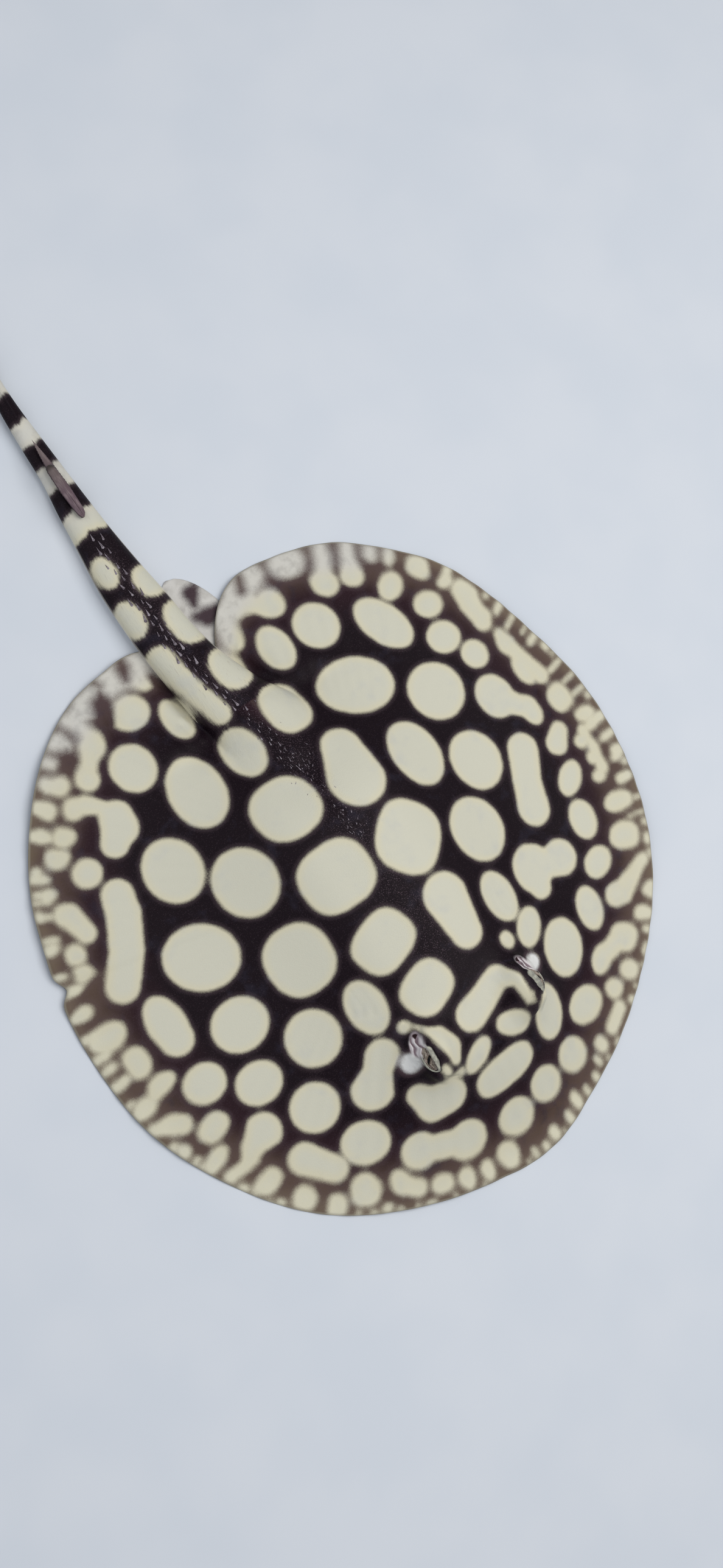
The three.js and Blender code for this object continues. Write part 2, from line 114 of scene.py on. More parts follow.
def bumps(rows, angle):
    return sum(size * hill(angle - at, spread) for at, spread, size in rows)


def along(rows, key):
    """A smooth curve through rows of a key and its values, read at the keys given."""
    keys = rows[:, 0]
    key = np.clip(key, keys[0], keys[-1])
    i = np.clip(np.searchsorted(keys, key) - 1, 0, len(keys) - 2)
    before, after = rows[np.maximum(i - 1, 0)], rows[np.minimum(i + 2, len(keys) - 1)]
    low, high = rows[i], rows[i + 1]
    span = (high[..., 0] - low[..., 0])[..., None]
    t = (key - low[..., 0])[..., None] / span
    slope_low = (high - before) / (high[..., 0] - before[..., 0])[..., None] * span
    slope_high = (after - low) / (after[..., 0] - low[..., 0])[..., None] * span
    t2, t3 = t * t, t * t * t
    row = (2 * t3 - 3 * t2 + 1) * low + (t3 - 2 * t2 + t) * slope_low
    row = row + (3 * t2 - 2 * t3) * high + (t3 - t2) * slope_high
    return [row[..., k] for k in range(1, rows.shape[1])]


def rim_radius(angle):
    """Radius of the disc's rim at an angle in degrees from the snout, positive to the right."""
    angle = np.asarray(angle, dtype=float)
    tuck = np.maximum(0, (np.abs(angle) - TUCK["from"]) / TUCK["span"]) ** TUCK["power"]
    return along(RIM, angle)[0] + bumps(NICKS, angle) - TUCK["size"] * tuck


def polar(x, y):
    """Angle from the snout in degrees, and the share of the way from the middle to the rim."""
    angle = np.arctan2(x, y) / DEG
    return angle, np.hypot(x, y) / rim_radius(angle)


def tail_at(y):
    """Centre, half width, top and underside of the tail."""
    return along(TAIL, np.asarray(y, dtype=float))


def underside(x, y):
    """Height of the belly: flat, with the rim lifted here and there and the rear lobes on the fins."""
    angle, share = polar(x, y)
    lift = bumps(LIFTS, angle) * ease(LIFT_FROM, 1, share)
    beside = 1 - ease(*FIN_ROOM["beside"], np.abs(x - tail_at(y)[0]))
    return lift + FIN_ROOM["height"] * ease(*FIN_ROOM["run"], y) * beside


def back(x, y):
    """Height of the disc's back, with the root of the tail rising out of it."""
    share = np.minimum(1, polar(x, y)[1])
    centre, half, tail_top, _ = tail_at(y)
    beside = np.maximum(0, np.abs(x - centre) - half)
    thin = ease(*LOBE_THIN["run"], y) * np.exp(-beside / LOBE_THIN["reach"])
    wing = WING_RISE * (1 - share**WING_POWER) * (1 - thin)
    dome = DOME["height"] * np.exp(-((np.abs(x) / DOME["half"]) ** DOME["power"]))
    dome = dome * ease(*DOME["front"], y) * ease(*DOME["rear"], y)
    bulge = BULGE["height"] * hill(np.abs(x) - BULGE["x"], BULGE["half_x"])
    bulge = bulge * hill(y - BULGE["y"], BULGE["half_y"])
    flat = underside(x, y) + RIM_THICK + wing + dome + bulge
    across = (np.abs(x - centre) / half) ** RIDGE["power"]
    joined = join_soft(tail_top * np.sqrt(np.clip(1 - across, 0, 1)), flat, RIDGE["soft"])
    return mix(flat, joined, ease(*RIDGE["rise"], y) * (1 - ease(*RIDGE["part"], y)))


# ---- modelling helpers ---------------------------------------------------------------------
def alone(piece):
    """Makes a piece the only selected and active object."""
    bpy.ops.object.select_all(action="DESELECT")
    piece.select_set(True)
    bpy.context.view_layer.objects.active = piece


def new_piece(name):
    piece = bpy.context.active_object
    piece.name = piece.data.name = name
    return piece


def vectors(items, kind):
    """A vector of each item of a mesh, as rows of three numbers."""
    flat = np.empty(len(items) * 3, dtype=np.float32)
    items.foreach_get(kind, flat)
    return flat.reshape(-1, 3).astype(float)


def points_of(piece):
    return vectors(piece.data.vertices, "co")


def face_middles(piece):
    return vectors(piece.data.polygons, "center")


def lay(piece, points):
    piece.data.vertices.foreach_set("co", np.asarray(points, dtype=np.float32).ravel())
    piece.data.update()


def sheet(name, columns, rows, thick=True):
    """A grid from -1 to 1 both ways; a thick one is a slab with its underside at -1."""
    bpy.ops.object.select_all(action="DESELECT")
    bpy.ops.mesh.primitive_grid_add(x_subdivisions=columns, y_subdivisions=rows, size=2)
    piece = new_piece(name)
    if thick:
        bpy.ops.object.mode_set(mode="EDIT")
        bpy.ops.mesh.select_all(action="SELECT")
        bpy.ops.mesh.extrude_region_move(TRANSFORM_OT_translate={"value": (0, 0, -1)})
        bpy.ops.object.mode_set(mode="OBJECT")
    return piece


def start_selection(piece):
    """Gets a piece ready for its faces or edges to be selected one by one."""
    alone(piece)
    bpy.ops.object.mode_set(mode="EDIT")
    bpy.ops.mesh.select_mode(type="FACE")
    bpy.ops.mesh.select_all(action="DESELECT")
    bpy.ops.object.mode_set(mode="OBJECT")


def divide(piece, chosen, cuts):
    """Subdivides the faces for which the list of truths chosen says so."""
    start_selection(piece)
    piece.data.polygons.foreach_set("select", np.asarray(chosen, dtype=bool))
    bpy.ops.object.mode_set(mode="EDIT")
    bpy.ops.mesh.subdivide(number_cuts=cuts)
    bpy.ops.object.mode_set(mode="OBJECT")


def apply(piece, kind, **settings):
    alone(piece)
    modifier = piece.modifiers.new(kind.title(), kind)
    for key, value in settings.items():
        setattr(modifier, key, value)
    bpy.ops.object.modifier_apply(modifier=modifier.name)


def tidy_up(piece, merge=1e-6):
    """Merges doubles and turns the faces outwards."""
    alone(piece)
    bpy.ops.object.mode_set(mode="EDIT")
    bpy.ops.mesh.select_all(action="SELECT")
    bpy.ops.mesh.remove_doubles(threshold=merge)
    bpy.ops.mesh.normals_make_consistent(inside=False)
    bpy.ops.object.mode_set(mode="OBJECT")
    bpy.ops.object.shade_smooth()


def give(piece, name, values):
    piece.data.attributes.new(name, "FLOAT", "POINT").data.foreach_set(
        "value", np.asarray(values, dtype=np.float32)
    )


def read(piece, name):
    values = np.empty(len(piece.data.vertices), dtype=np.float32)
    piece.data.attributes[name].data.foreach_get("value", values)
    return values.astype(float)


def label(piece, kind):
    """Says on its points what a part of the skin is, so that the joined skin still knows."""
    for name in ("tail", "fin"):
        give(piece, name, np.full(len(piece.data.vertices), float(name == kind)))


# ---- eyes and spiracles: their places ------------------------------------------------------
class Eye:
    """One eye: where it sits, which way it looks, and the almond between its lids."""

    long, short = 6.7, 2.5  # half length and half width of the opening
    droop = 0.8  # how far the opening's middle lies below the eyeball's, towards the side
    ball_long, ball_short = 8.6, 7.2  # half length and half width of the eyeball
    tilt, lean = 40.0, 6.0  # outwards from upright; the front end leans outwards

    def __init__(self, side):
        low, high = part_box("eye_right" if side > 0 else "eye_left")
        self.side = side
        self.centre = np.array((Vector(low) + Vector(high)) / 2) / MM
        self.radius = (high[0] - low[0]) / 2 / MM
        tilt, lean = self.tilt * DEG, self.lean * DEG
        self.out = np.array((side * math.sin(tilt), 0, math.cos(tilt)))
        along = np.array((side * math.sin(lean), math.cos(lean), 0))
        along -= self.out * along.dot(self.out)
        self.along = along / np.linalg.norm(along)
        self.across = np.cross(self.along, self.out) * side  # towards the animal's side

    def local(self, points):
        offset = points - self.centre
        return offset @ self.along, offset @ self.across, offset @ self.out

    def outside(self, a, b):
        """Signed distance from the almond's edge, positive outside it."""
        a, b = np.abs(a) + 1e-6, np.abs(b - self.droop) + 1e-6
        q = np.hypot(a / self.long, b / self.short)
        slope = np.hypot(a / self.long**2, b / self.short**2) / q
        return np.clip((q - 1) / np.maximum(slope, 0.02), -3, 30)

    def lid(self, a, b):
        """How far out on the lids a point is; they are narrower below the eye and at its corners."""
        d = self.outside(a, b)
        narrower = 0.4 * ease(0.2, 2.6, b) + 0.9 * ease(2, 7, a) + 1.2 * ease(-5, -9, a)
        return np.where(d > 0, d * (1.5 + narrower), d)

    def ball(self, a, b):
        """Height of the eyeball's face over its middle, along out."""
        inside = 1 - (a / self.ball_long) ** 2 - (b / self.ball_short) ** 2
        return self.radius * np.sqrt(np.maximum(inside, 0.12))


EYES = [Eye(1), Eye(-1)]
LID_REACH = 24.0  # how far from an eye its lids are felt

SPIRACLE = {"x": 35.2, "y": 81.6, "half_long": 5.9, "half_wide": 3.0, "lean": 24.0, "deep": 3.4}


def spiracle_place(x, y, side):
    """Along and across the spiracle's slot, as shares of its half sizes."""
    dx = side * x - SPIRACLE["x"]
    dy = y - SPIRACLE["y"]
    c, s = math.cos(SPIRACLE["lean"] * DEG), math.sin(SPIRACLE["lean"] * DEG)
    return (dx * s + dy * c) / SPIRACLE["half_long"], (dx * c - dy * s) / SPIRACLE["half_wide"]


# ---- skin: the disc ------------------------------------------------------------------------
GRID = 112  # faces across the disc before its back is made finer
FINE_EYE = {"y": 89, "half_x": 14, "half_y": 20}  # finer faces round each eye and its spiracle
FINE_SLOT = 3.4  # and this far round the openings of the belly
FIN_RAYS, RIPPLES = 96, 61  # waves round the disc: the ribs of the wings, and the rim's


def to_round(flat):
    """From the square that the sheet is made in to the disc's outline."""
    u, v = np.clip(flat[:, :2], -1, 1).T
    right, ahead = u * np.sqrt(1 - v * v / 2), v * np.sqrt(1 - u * u / 2)
    angle = np.arctan2(right, ahead)
    radius = np.hypot(right, ahead) * rim_radius(angle / DEG)
    return radius * np.sin(angle), radius * np.cos(angle)


MOUTH = {"y": 111.0, "half": 12.0, "wide": 1.3, "deep": 1.6}
VENT = {"y": -88.0, "half": 6.5, "wide": 1.2, "deep": 1.8}
NOSTRIL = {"x": 10.5, "y": 121.0, "turn": 58.0, "half": 4.5, "wide": 1.3, "deep": 1.6}
GILL = {"x": 33.0, "y": 80.0, "turn": 66.0, "half": 4.5, "wide": 0.9, "deep": 1.5}
GILLS, GILL_STEP = 5, (2.6, 11.5)  # on each side, and how far each lies inwards and behind the last


def slots():
    """The openings of the belly: middle x, y, half length, half width, turn, depth."""
    def slot(form, x, y, turn):
        return (x, y, form["half"], form["wide"], turn, form["deep"])

    rows = [slot(MOUTH, 0, MOUTH["y"], 90), slot(VENT, 0, VENT["y"], 0)]
    for side in (-1, 1):
        rows.append(slot(NOSTRIL, side * NOSTRIL["x"], NOSTRIL["y"], side * NOSTRIL["turn"]))
        for i in range(GILLS):
            x, y = GILL["x"] - i * GILL_STEP[0], GILL["y"] - i * GILL_STEP[1]
            rows.append(slot(GILL, side * x, y, side * GILL["turn"]))
    return rows


def slot_distance(x, y, row):
    """Distance from the middle line of an opening, bowed a little, and how far along it is."""
    cx, cy, half, _, turn, _ = row
    c, s = math.cos(turn * DEG), math.sin(turn * DEG)
    dx, dy = x - cx, y - cy
    along, across = -dx * s + dy * c, dx * c + dy * s
    across = across - 1.2 * (along / half) ** 2 * (0.35 if half < 8 else 1.0)
    past = np.maximum(0, np.abs(along) - half)
    return np.hypot(across, past), np.abs(along) / half


def sculpt_back(x, y):
    """Points of the disc's back with its folds, lids and spiracles."""
    z = back(x, y) - COAT
    angle, share = polar(x, y)
    from_rim = (1 - share) * rim_radius(angle)
    z -= (RIM_THICK - RIM_EDGE) * np.clip(1 - from_rim / 1.6, 0, 1) ** 2
    # Fin rays show as faint ribs that fan out from the trunk, and the margin ripples.
    ribs = np.sin(angle * DEG * FIN_RAYS + 1.5 * np.sin(angle * DEG * 7))
    z += 0.1 * ribs * ease(60, 110, np.hypot(x, y)) * ease(0, 8, from_rim)
    z += 0.28 * (1 + np.sin(angle * DEG * RIPPLES + 2 * np.sin(angle * DEG * 9))) * ease(0.93, 1, share)
    # A low keel down the middle of the back, between two shallow troughs.
    keel = hill(x, 5) - 0.7 * hill(np.abs(x) - 17, 9)
    z += 0.9 * keel * ease(-100, -60, y) * ease(70, 20, y)
    # Creases fan out behind the spiracles and beside the root of the tail.
    z = z + fine_creases(x, y)
    points = np.stack([x, y, z], -1)
    for eye in EYES:
        points = sculpt_eye(points, eye)
        points = sculpt_spiracle(points, eye.side)
    return points


def crease(x, y, start, end, wide, deep, bow=0.0):
    """A soft groove (or a ridge, where deep is negative) from start to end."""
    start, end = np.array(start), np.array(end)
    way = end - start
    length = np.hypot(*way)
    way = way / length
    along = (x - start[0]) * way[0] + (y - start[1]) * way[1]
    t = np.clip(along / length, 0, 1)
    across = (y - start[1]) * way[0] - (x - start[0]) * way[1] - bow * np.sin(math.pi * t)
    ends = ease(-0.5 * wide, wide, along) * ease(-0.5 * wide, wide, length - along)
    return -deep * hill(across, wide) * ends


CREASES = (
    # start, end, width, depth, bow
    ((-31, -90), (-22, -110), 1.1, 1.1, 0.8), ((-35, -92), (-24, -113), 1.3, -0.7, 0.8),
    ((-22, -110), (-12, -136), 1.0, 0.9, 1.0), ((-26, -112), (-15, -138), 1.2, -0.8, 1.2),
    ((26, -100), (29, -124), 1.0, 0.9, -0.8), ((30, -104), (31.5, -122), 1.2, -0.9, -0.6),
    ((33, -108), (34, -120), 0.9, 0.5, -0.5), ((29, -124), (32, -152), 1.1, 0.7, -0.8),
    ((33, 70), (30, 60), 1.1, 0.7, 0.5), ((-35, 70), (-32, 60), 1.1, 0.6, -0.5),
)


def fine_creases(x, y):
    z = sum(crease(x, y, *row) for row in CREASES)
    # Wrinkles beside the eyes, where the skin slides over the bulge.
    for side in (-1, 1):
        for i in range(5):
            sx = side * (40.5 + 2.3 * i)
            z = z + crease(x, y, (sx, 60 - i), (sx + side * 1.5, 42 - 1.5 * i), 0.7, 0.4, side * 1.2)
    return z


def sculpt_eye(points, eye):
    """Wraps the back round one eyeball: a socket, a lid with a rolled edge and a fold round it."""
    near = np.hypot(points[:, 0] - eye.centre[0], points[:, 1] - eye.centre[1]) < LID_REACH + 2
    a, b, n = eye.local(points[near])
    d, lid = eye.outside(a, b), eye.lid(a, b)
    # The upper lid has a rolled edge and a fold behind it; the lower one is one soft roll.
    upper = 0.6 + 0.55 * hill(lid - 0.8, 0.7) - 0.3 * hill(lid - 1.5, 0.3)
    upper = upper - 0.95 * hill(lid - 2.8, 0.55) + 0.45 * hill(lid - 4.3, 1.0)
    upper = upper + 0.12 * np.sin(a * 2.1 + 1.3 * np.sin(a)) * ease(0.2, 1.2, lid)
    lower = 0.5 + 0.35 * hill(d - 0.6, 0.9)
    roll = mix(lower, upper, ease(1.2, -0.6, b) * ease(6.5, 4.5, np.abs(a)))
    height = eye.ball(a, b) + np.where(d < -0.25, -1.6, roll * ease(-0.3, 0.15, d) - 0.2)
    # The brow hangs over the inner edge.
    height = height + 0.7 * hill(lid - 0.7, 0.8) * ease(0.5, -2.5, b)
    share = 1 - ease(2.2, 8.5, d)
    points = points.copy()
    points[near] += eye.out * ((height - n) * share)[:, None]
    return points


def spiracle_folds(along, across):
    """Pleats that run along the spiracle's walls and fade at its rear end, from -1 to 1."""
    wave = across * 7.5 + 1.8 * along + 0.9 * np.sin(5 * along) + 0.6 * np.sin(3 * across + 7 * along)
    return np.cos(wave) * ease(-0.95, -0.3, along)


def sculpt_spiracle(points, side):
    """Sinks the spiracle behind an eye, with folds along its walls and a raised outer lip."""
    along, across = spiracle_place(points[:, 0], points[:, 1], side)
    q = np.hypot(along, across)
    depth = SPIRACLE["deep"] * np.clip(1 - q**2, 0, 1) ** 0.7 * mix(1.0, 0.55, ease(-0.7, 0.5, along))
    folds = 1.3 * spiracle_folds(along, across) * np.clip(1 - q**2, 0, 1)
    lip = 1.1 * hill(q - 1.25, 0.22) * ease(-0.6, 0.8, across)
    lip = lip + 0.8 * hill(q - 1.15, 0.16) * ease(0.2, -0.8, across)
    points = points.copy()
    points[:, 2] += -depth + folds + lip
    return points


def disc_body():
    """A square slab drawn out to the disc's outline, its back sculpted and its belly slotted."""
    disc = sheet("disc", GRID, GRID)
    divide(disc, face_middles(disc)[:, 2] > -0.01, 1)
    # Finer faces round the eyes and the spiracles, and then round the openings of the belly.
    middles = face_middles(disc)
    x, y = to_round(middles)
    ahead = (y - FINE_EYE["y"]) / FINE_EYE["half_y"]
    asides = [(x - eye.centre[0]) / FINE_EYE["half_x"] for eye in EYES]
    head = np.any([aside**2 + ahead**2 < 1 for aside in asides], axis=0)
    divide(disc, head & (middles[:, 2] > -0.01), 3)
    middles = face_middles(disc)
    x, y = to_round(middles)
    mouths = np.any([slot_distance(x, y, row)[0] < FINE_SLOT for row in slots()], axis=0)
    divide(disc, mouths & (middles[:, 2] < -0.99), 3)

    flat = points_of(disc)
    x, y = to_round(flat)
    belly = underside(x, y)
    for row in slots():
        distance, along = slot_distance(x, y, row)
        wide = row[3] * (1 - 0.5 * np.clip(along, 0, 1) ** 4)
        belly = belly + row[5] * np.exp(-((distance / wide) ** 4))
    low = np.stack([x, y, np.maximum(belly, 0)], -1)
    lay(disc, np.where(flat[:, 2:] > -0.5, sculpt_back(x, y), low) * MM)
    tidy_up(disc)
    label(disc, "disc")
    return disc


# ---- skin: the tail and the pelvic fins ----------------------------------------------------
TAIL_SIDES = 44
TAIL_RINGS = 212
SUNK = 1.6  # how far the tail's root lies inside the disc
UPPER_FOLD = {"from": -296.0, "to": -430.0, "height": 2.7}
LOWER_FOLD = {"from": -236.0, "to": -432.0}


def tail_points(turn, y):
    """Points of the tail's skin: turn goes round it from the animal's right by way of the top."""
    centre, half, top, under = tail_at(y)
    buried = ease(-124, -100, y)
    half, top = half - COAT / 2 - SUNK * buried, top - COAT - SUNK * buried
    under = under + 0.5 * ease(-113, -104, y)
    turn = turn + 0.33 * np.sin(2 * turn)  # closer together over the back and under the belly
    across, up = np.cos(turn), np.sin(turn)
    middle = under + (top - under) * TAIL_WAIST
    z = np.where(up > 0, mix(middle, top, np.abs(up)), middle + (middle - under + 0.7) * up)
    z = np.maximum(z, under)
    x = centre + half * across
    # Skin folds along the tail's middle line, above and below.
    run = np.clip((UPPER_FOLD["from"] - y) / (UPPER_FOLD["from"] - UPPER_FOLD["to"]), 0, 1)
    crest = UPPER_FOLD["height"] * np.sin(math.pi * run) ** 0.6 * hill(x - centre, 0.55)
    z = z + crest * np.clip(4 * up, 0, 1)
    drop = under * ease(LOWER_FOLD["from"], LOWER_FOLD["from"] - 18, y) * ease(-440, LOWER_FOLD["to"], y)
    z = z - drop * hill(x - centre, 0.5) * np.clip(-4 * up, 0, 1)
    # A shallow groove down the back of the tail, in which the stings lie.
    groove = 0.7 * ease(-222, -240, y) * ease(-292, -270, y) * hill(x - centre, 2.4)
    return x, z - groove * np.clip(4 * up, 0, 1)


def tail_body():
    """A sheet rolled into a tube along the tail's curve and closed at both ends."""
    tail = sheet("tail", TAIL_SIDES, TAIL_RINGS, thick=False)
    flat = points_of(tail)
    y = mix(TAIL_TIP, TAIL_BURIED, (flat[:, 1] + 1) / 2)
    x, z = tail_points(math.pi * (flat[:, 0] + 1), y)
    lay(tail, np.stack([x, y, np.maximum(z, 0)], -1) * MM)
    tidy_up(tail, merge=6e-6)
    close_ends(tail, (TAIL_TIP * MM, TAIL_BURIED * MM))
    label(tail, "tail")
    return tail


def close_ends(piece, ends):
    """Closes the open ring at each of the given places along y with a fan round a middle point."""
    for end in ends:
        start_selection(piece)
        places = points_of(piece)[:, 1]
        for edge in piece.data.edges:
            edge.select = bool(np.all(np.abs(places[list(edge.vertices)] - end) < 1e-6))
        bpy.ops.object.mode_set(mode="EDIT")
        bpy.ops.mesh.select_mode(type="EDGE")
        bpy.ops.mesh.edge_face_add()
        bpy.ops.mesh.poke()
        bpy.ops.object.mode_set(mode="OBJECT")
    tidy_up(piece)


PELVIC = (
    {"root": (-17.0, -104.5), "tip": (-4.5, -187.0), "root_half": 5.5, "half": 12.5, "bow": -3.0},
    {"root": (29.0, -104.5), "tip": (44.0, -156.0), "root_half": 6.0, "half": 11.0, "bow": 3.0},
)


def fin_body(form):
    """A paddle that lies on the floor beside the tail's root."""
    fin = sheet("fin", 18, 44)
    flat = points_of(fin)
    root, tip = np.array(form["root"]), np.array(form["tip"])
    length = np.hypot(*(tip - root))
    way = (tip - root) / length
    s, t = (flat[:, 1] + 1) / 2, flat[:, 0]
    s = np.where(s > 0.999, 0.9995, s)
    swell = mix(form["root_half"], form["half"], ease(0, 0.55, s))
    swell = swell * np.sqrt(np.maximum(0, 1 - np.maximum(0, (s - 0.62) / 0.38) ** 2.4))
    w = t * swell + form["bow"] * np.sin(math.pi * s)
    x = root[0] + way[0] * s * length - way[1] * w
    y = root[1] + way[1] * s * length + way[0] * w
    ribs = 0.12 * np.sin(t * 26) * ease(0.1, 0.5, s)
    edge = np.clip(1 - np.abs(t), 0, 1)
    crown = (1 - s) * np.sin(math.pi * np.clip(0.12 + 0.38 * (t + 1), 0, 1))
    top = mix(0.75, 1.9, crown) + ribs * edge
    lay(fin, np.stack([x, y, np.where(flat[:, 2] > -0.5, top, 0.15)], -1) * MM)
    tidy_up(fin, merge=2e-5)
    label(fin, "fin")
    return fin


def join_skin():
    """One closed skin from the disc, the tail and the fins, softened where they run together."""
    skin, tail = disc_body(), tail_body()
    fins = [fin_body(form) for form in PELVIC]
    for part in (tail, *fins):
        apply(skin, "BOOLEAN", operation="UNION", solver="MANIFOLD", object=part)
        bpy.data.objects.remove(part)
    skin.name = skin.data.name = "skin"
    points = points_of(skin) / MM
    x, y, z = points.T
    centre, half, _, _ = tail_at(y)
    # Most along the sides of the tail's root, where the parts meet, and over the root's crown.
    gap = np.abs(np.abs(x - centre) - half)
    lift = np.abs(z - back(x, y))
    reach = mix(5.0, 1.6, ease(-100, -128, y))
    over = hill(lift, 2.0) * (np.abs(x - centre) < half) * (z > 12)
    weight = np.maximum(hill(np.hypot(gap, lift), reach), over)
    weight = weight * ease(-84, -94, y) * ease(-172, -160, y) * (z > 3.2)
    group = skin.vertex_groups.new(name="soften")
    steps = 10
    for level in range(1, steps + 1):
        low, high = (level - 0.5) / steps, (level + 0.5) / steps
        chosen = np.nonzero((weight > low) & (weight <= high))[0]
        group.add(chosen.tolist(), level / steps, "REPLACE")
    apply(skin, "SMOOTH", factor=0.5, iterations=10, vertex_group="soften")
    skin.vertex_groups.clear()
    # Split the shorter way across, so that the markings' edges stay smooth on slanting faces.
    apply(skin, "TRIANGULATE", quad_method="SHORTEST_DIAGONAL")
    bpy.ops.object.shade_smooth()
    return skin


# ---- markings ------------------------------------------------------------------------------
# The pale spots of the back: middle x, y, width and length. A fifth value is by how many degrees
# the longer way rises to the right, and a sixth above 2 makes a spot squarer.
SPOTS = (
    # right side, from the snout to the shoulder
    (5, 147, 23, 21.5), (34, 140.5, 24, 22), (58, 130, 21.5, 20.5), (18.5, 160.5, 14, 14.5),
    (32, 161, 9.5, 12), (44, 157.5, 11, 13), (57, 151.5, 13, 12), (67.5, 146, 11, 11),
    (74, 138, 12.5, 16), (86.5, 144.5, 8, 6), (90.5, 129.5, 16.5, 18), (78.5, 110, 27, 24, -30),
    (117.5, 115, 11.5, 14), (106, 127.5, 10, 12), (129, 97.5, 18, 12), (90, 80, 27, 27),
    (10.5, 105, 22, 12.5, 28), (0.3, 121, 38, 19.5, 4, 2.5), (34.5, 71, 8, 8), (41.5, 88, 10, 12),
    (14.5, 61.5, 30, 26, 20, 2.5), (44, 52.5, 20.5, 31), (72.5, 50.5, 29, 31), (106, 53.5, 26, 23.5),
    (136, 58.5, 18.5, 12.5), (128, 38, 24, 22), (151, 46, 18, 12, -30), (98, 24, 31, 29),
    (127, 3.5, 21, 34), (57.5, 14, 34, 38, 0, 2.3), (20, 30, 34, 29, 20, 2.7), (145, 25.5, 17, 11),
    (158, 31, 14, 12), (148, 10, 13, 17), (162, 15, 9, 6), (161, 5, 9, 6), (155, 60, 7, 10),
    (143.5, 73, 16, 10, 20),
    # right side, behind the shoulder
    (21, -10, 38.5, 36, 0, 2.6), (57.5, -33, 32.5, 38), (95, -14.5, 40, 35, -40), (82, -58.5, 31, 36),
    (21, -52, 36, 34, 0, 2.3), (49.5, -84.5, 30, 41, 10), (19, -88, 21, 30), (68, -113, 25, 28),
    (117, -81.5, 17, 17), (144, -51.5, 11, 11), (147, -40, 11, 8), (154, -8.5, 22, 15),
    (157, -25, 12, 9), (152, -60, 10, 8), (148, -77, 6, 8), (139, -83, 10, 9), (124, -95, 13, 10),
    (137, -95.5, 8, 9), (114, -102, 9, 9), (125, -110, 9, 10), (116, -118, 9, 11), (103, -126, 12, 12),
    (90, -121, 14, 15), (78, -134, 15, 15), (52.5, -138, 23, 21), (34, -122, 17, 26),
    (36.5, -150, 14, 16), (57, -154, 12, 10), (70, -152, 11, 10), (92, -146, 12, 10),
    # left side, behind the shoulder
    (-21.5, -5.5, 40, 37, 40, 2.6), (-59.5, 12.5, 34.5, 37), (-84, -17, 32, 35), (-55, -38, 31, 39),
    (-89, -59, 35, 34), (-53, -85, 44, 34, -22), (-88.5, -105, 25, 38, -20), (-56.5, -123.5, 27, 28),
    (-31, -125, 19, 28), (-117, -39, 24, 27), (-130.5, -22, 14, 20), (-122, -64, 18, 18),
    (-112.5, -81, 22, 20), (-117, -100.5, 19, 17), (-148.5, -18, 13, 17), (-141.5, -42, 13, 20),
    (-142, -59, 13, 16), (-134, -106, 12, 9), (-126, -120, 12, 16), (-105.5, -120, 20, 15, 35),
    (-75.5, -140.5, 17, 18), (-44, -147, 17, 19), (-28, -154.5, 24, 13), (-65.5, -160, 20, 17),
    (-47, -164, 9, 9), (-107, -140, 8, 9), (-116, -134.5, 8, 8), (-16, -141, 9, 13),
    # left side, from the shoulder to the snout
    (-47.5, 47, 21.5, 30), (-36.5, 67, 10.5, 11), (-53, 69.5, 24, 17, 40), (-42, 84.5, 13, 10),
    (-65.5, 90, 27, 33, 35), (-14, 102.5, 21, 14.5, -30), (-36, 110.5, 21, 31, 20),
    (-39, 139.5, 20, 21), (-17.5, 142.5, 21, 21), (-60, 122.5, 25.5, 21), (-80, 125.5, 11, 12),
    (-94, 123, 12, 12), (-83, 109, 19, 14, 35), (-101, 106.5, 16, 17), (-119.5, 103, 12, 10),
    (-131, 95, 11, 8), (-112, 86.5, 17, 15), (-93, 83, 18, 26, 15), (-112.5, 66, 21, 17, 20),
    (-134.5, 62.5, 19, 16), (-119, 42.5, 18, 24, 15), (-142.5, 46, 17, 12, -10),
    (-126.5, 20.5, 23, 15, 35), (-143, 29, 11, 9), (-154, 38, 8, 6), (-160, 26, 11, 7),
    (-161, 14, 11, 6), (-147, 19, 11, 10), (-146, 8, 11, 10), (-157, 4, 13, 7), (-157, -4, 12, 9),
    # the tail, as far as its spots stay apart, and the left pelvic fin
    (-13, -95.5, 27, 31, 0, 2.5), (-2.5, -128.5, 23, 27, 0, 2.3), (2, -162, 22, 28, 0, 2.4),
    (5, -190, 19, 21, 0, 2.4), (25.5, -177, 15, 23), (22.5, -205, 13.5, 20),
)

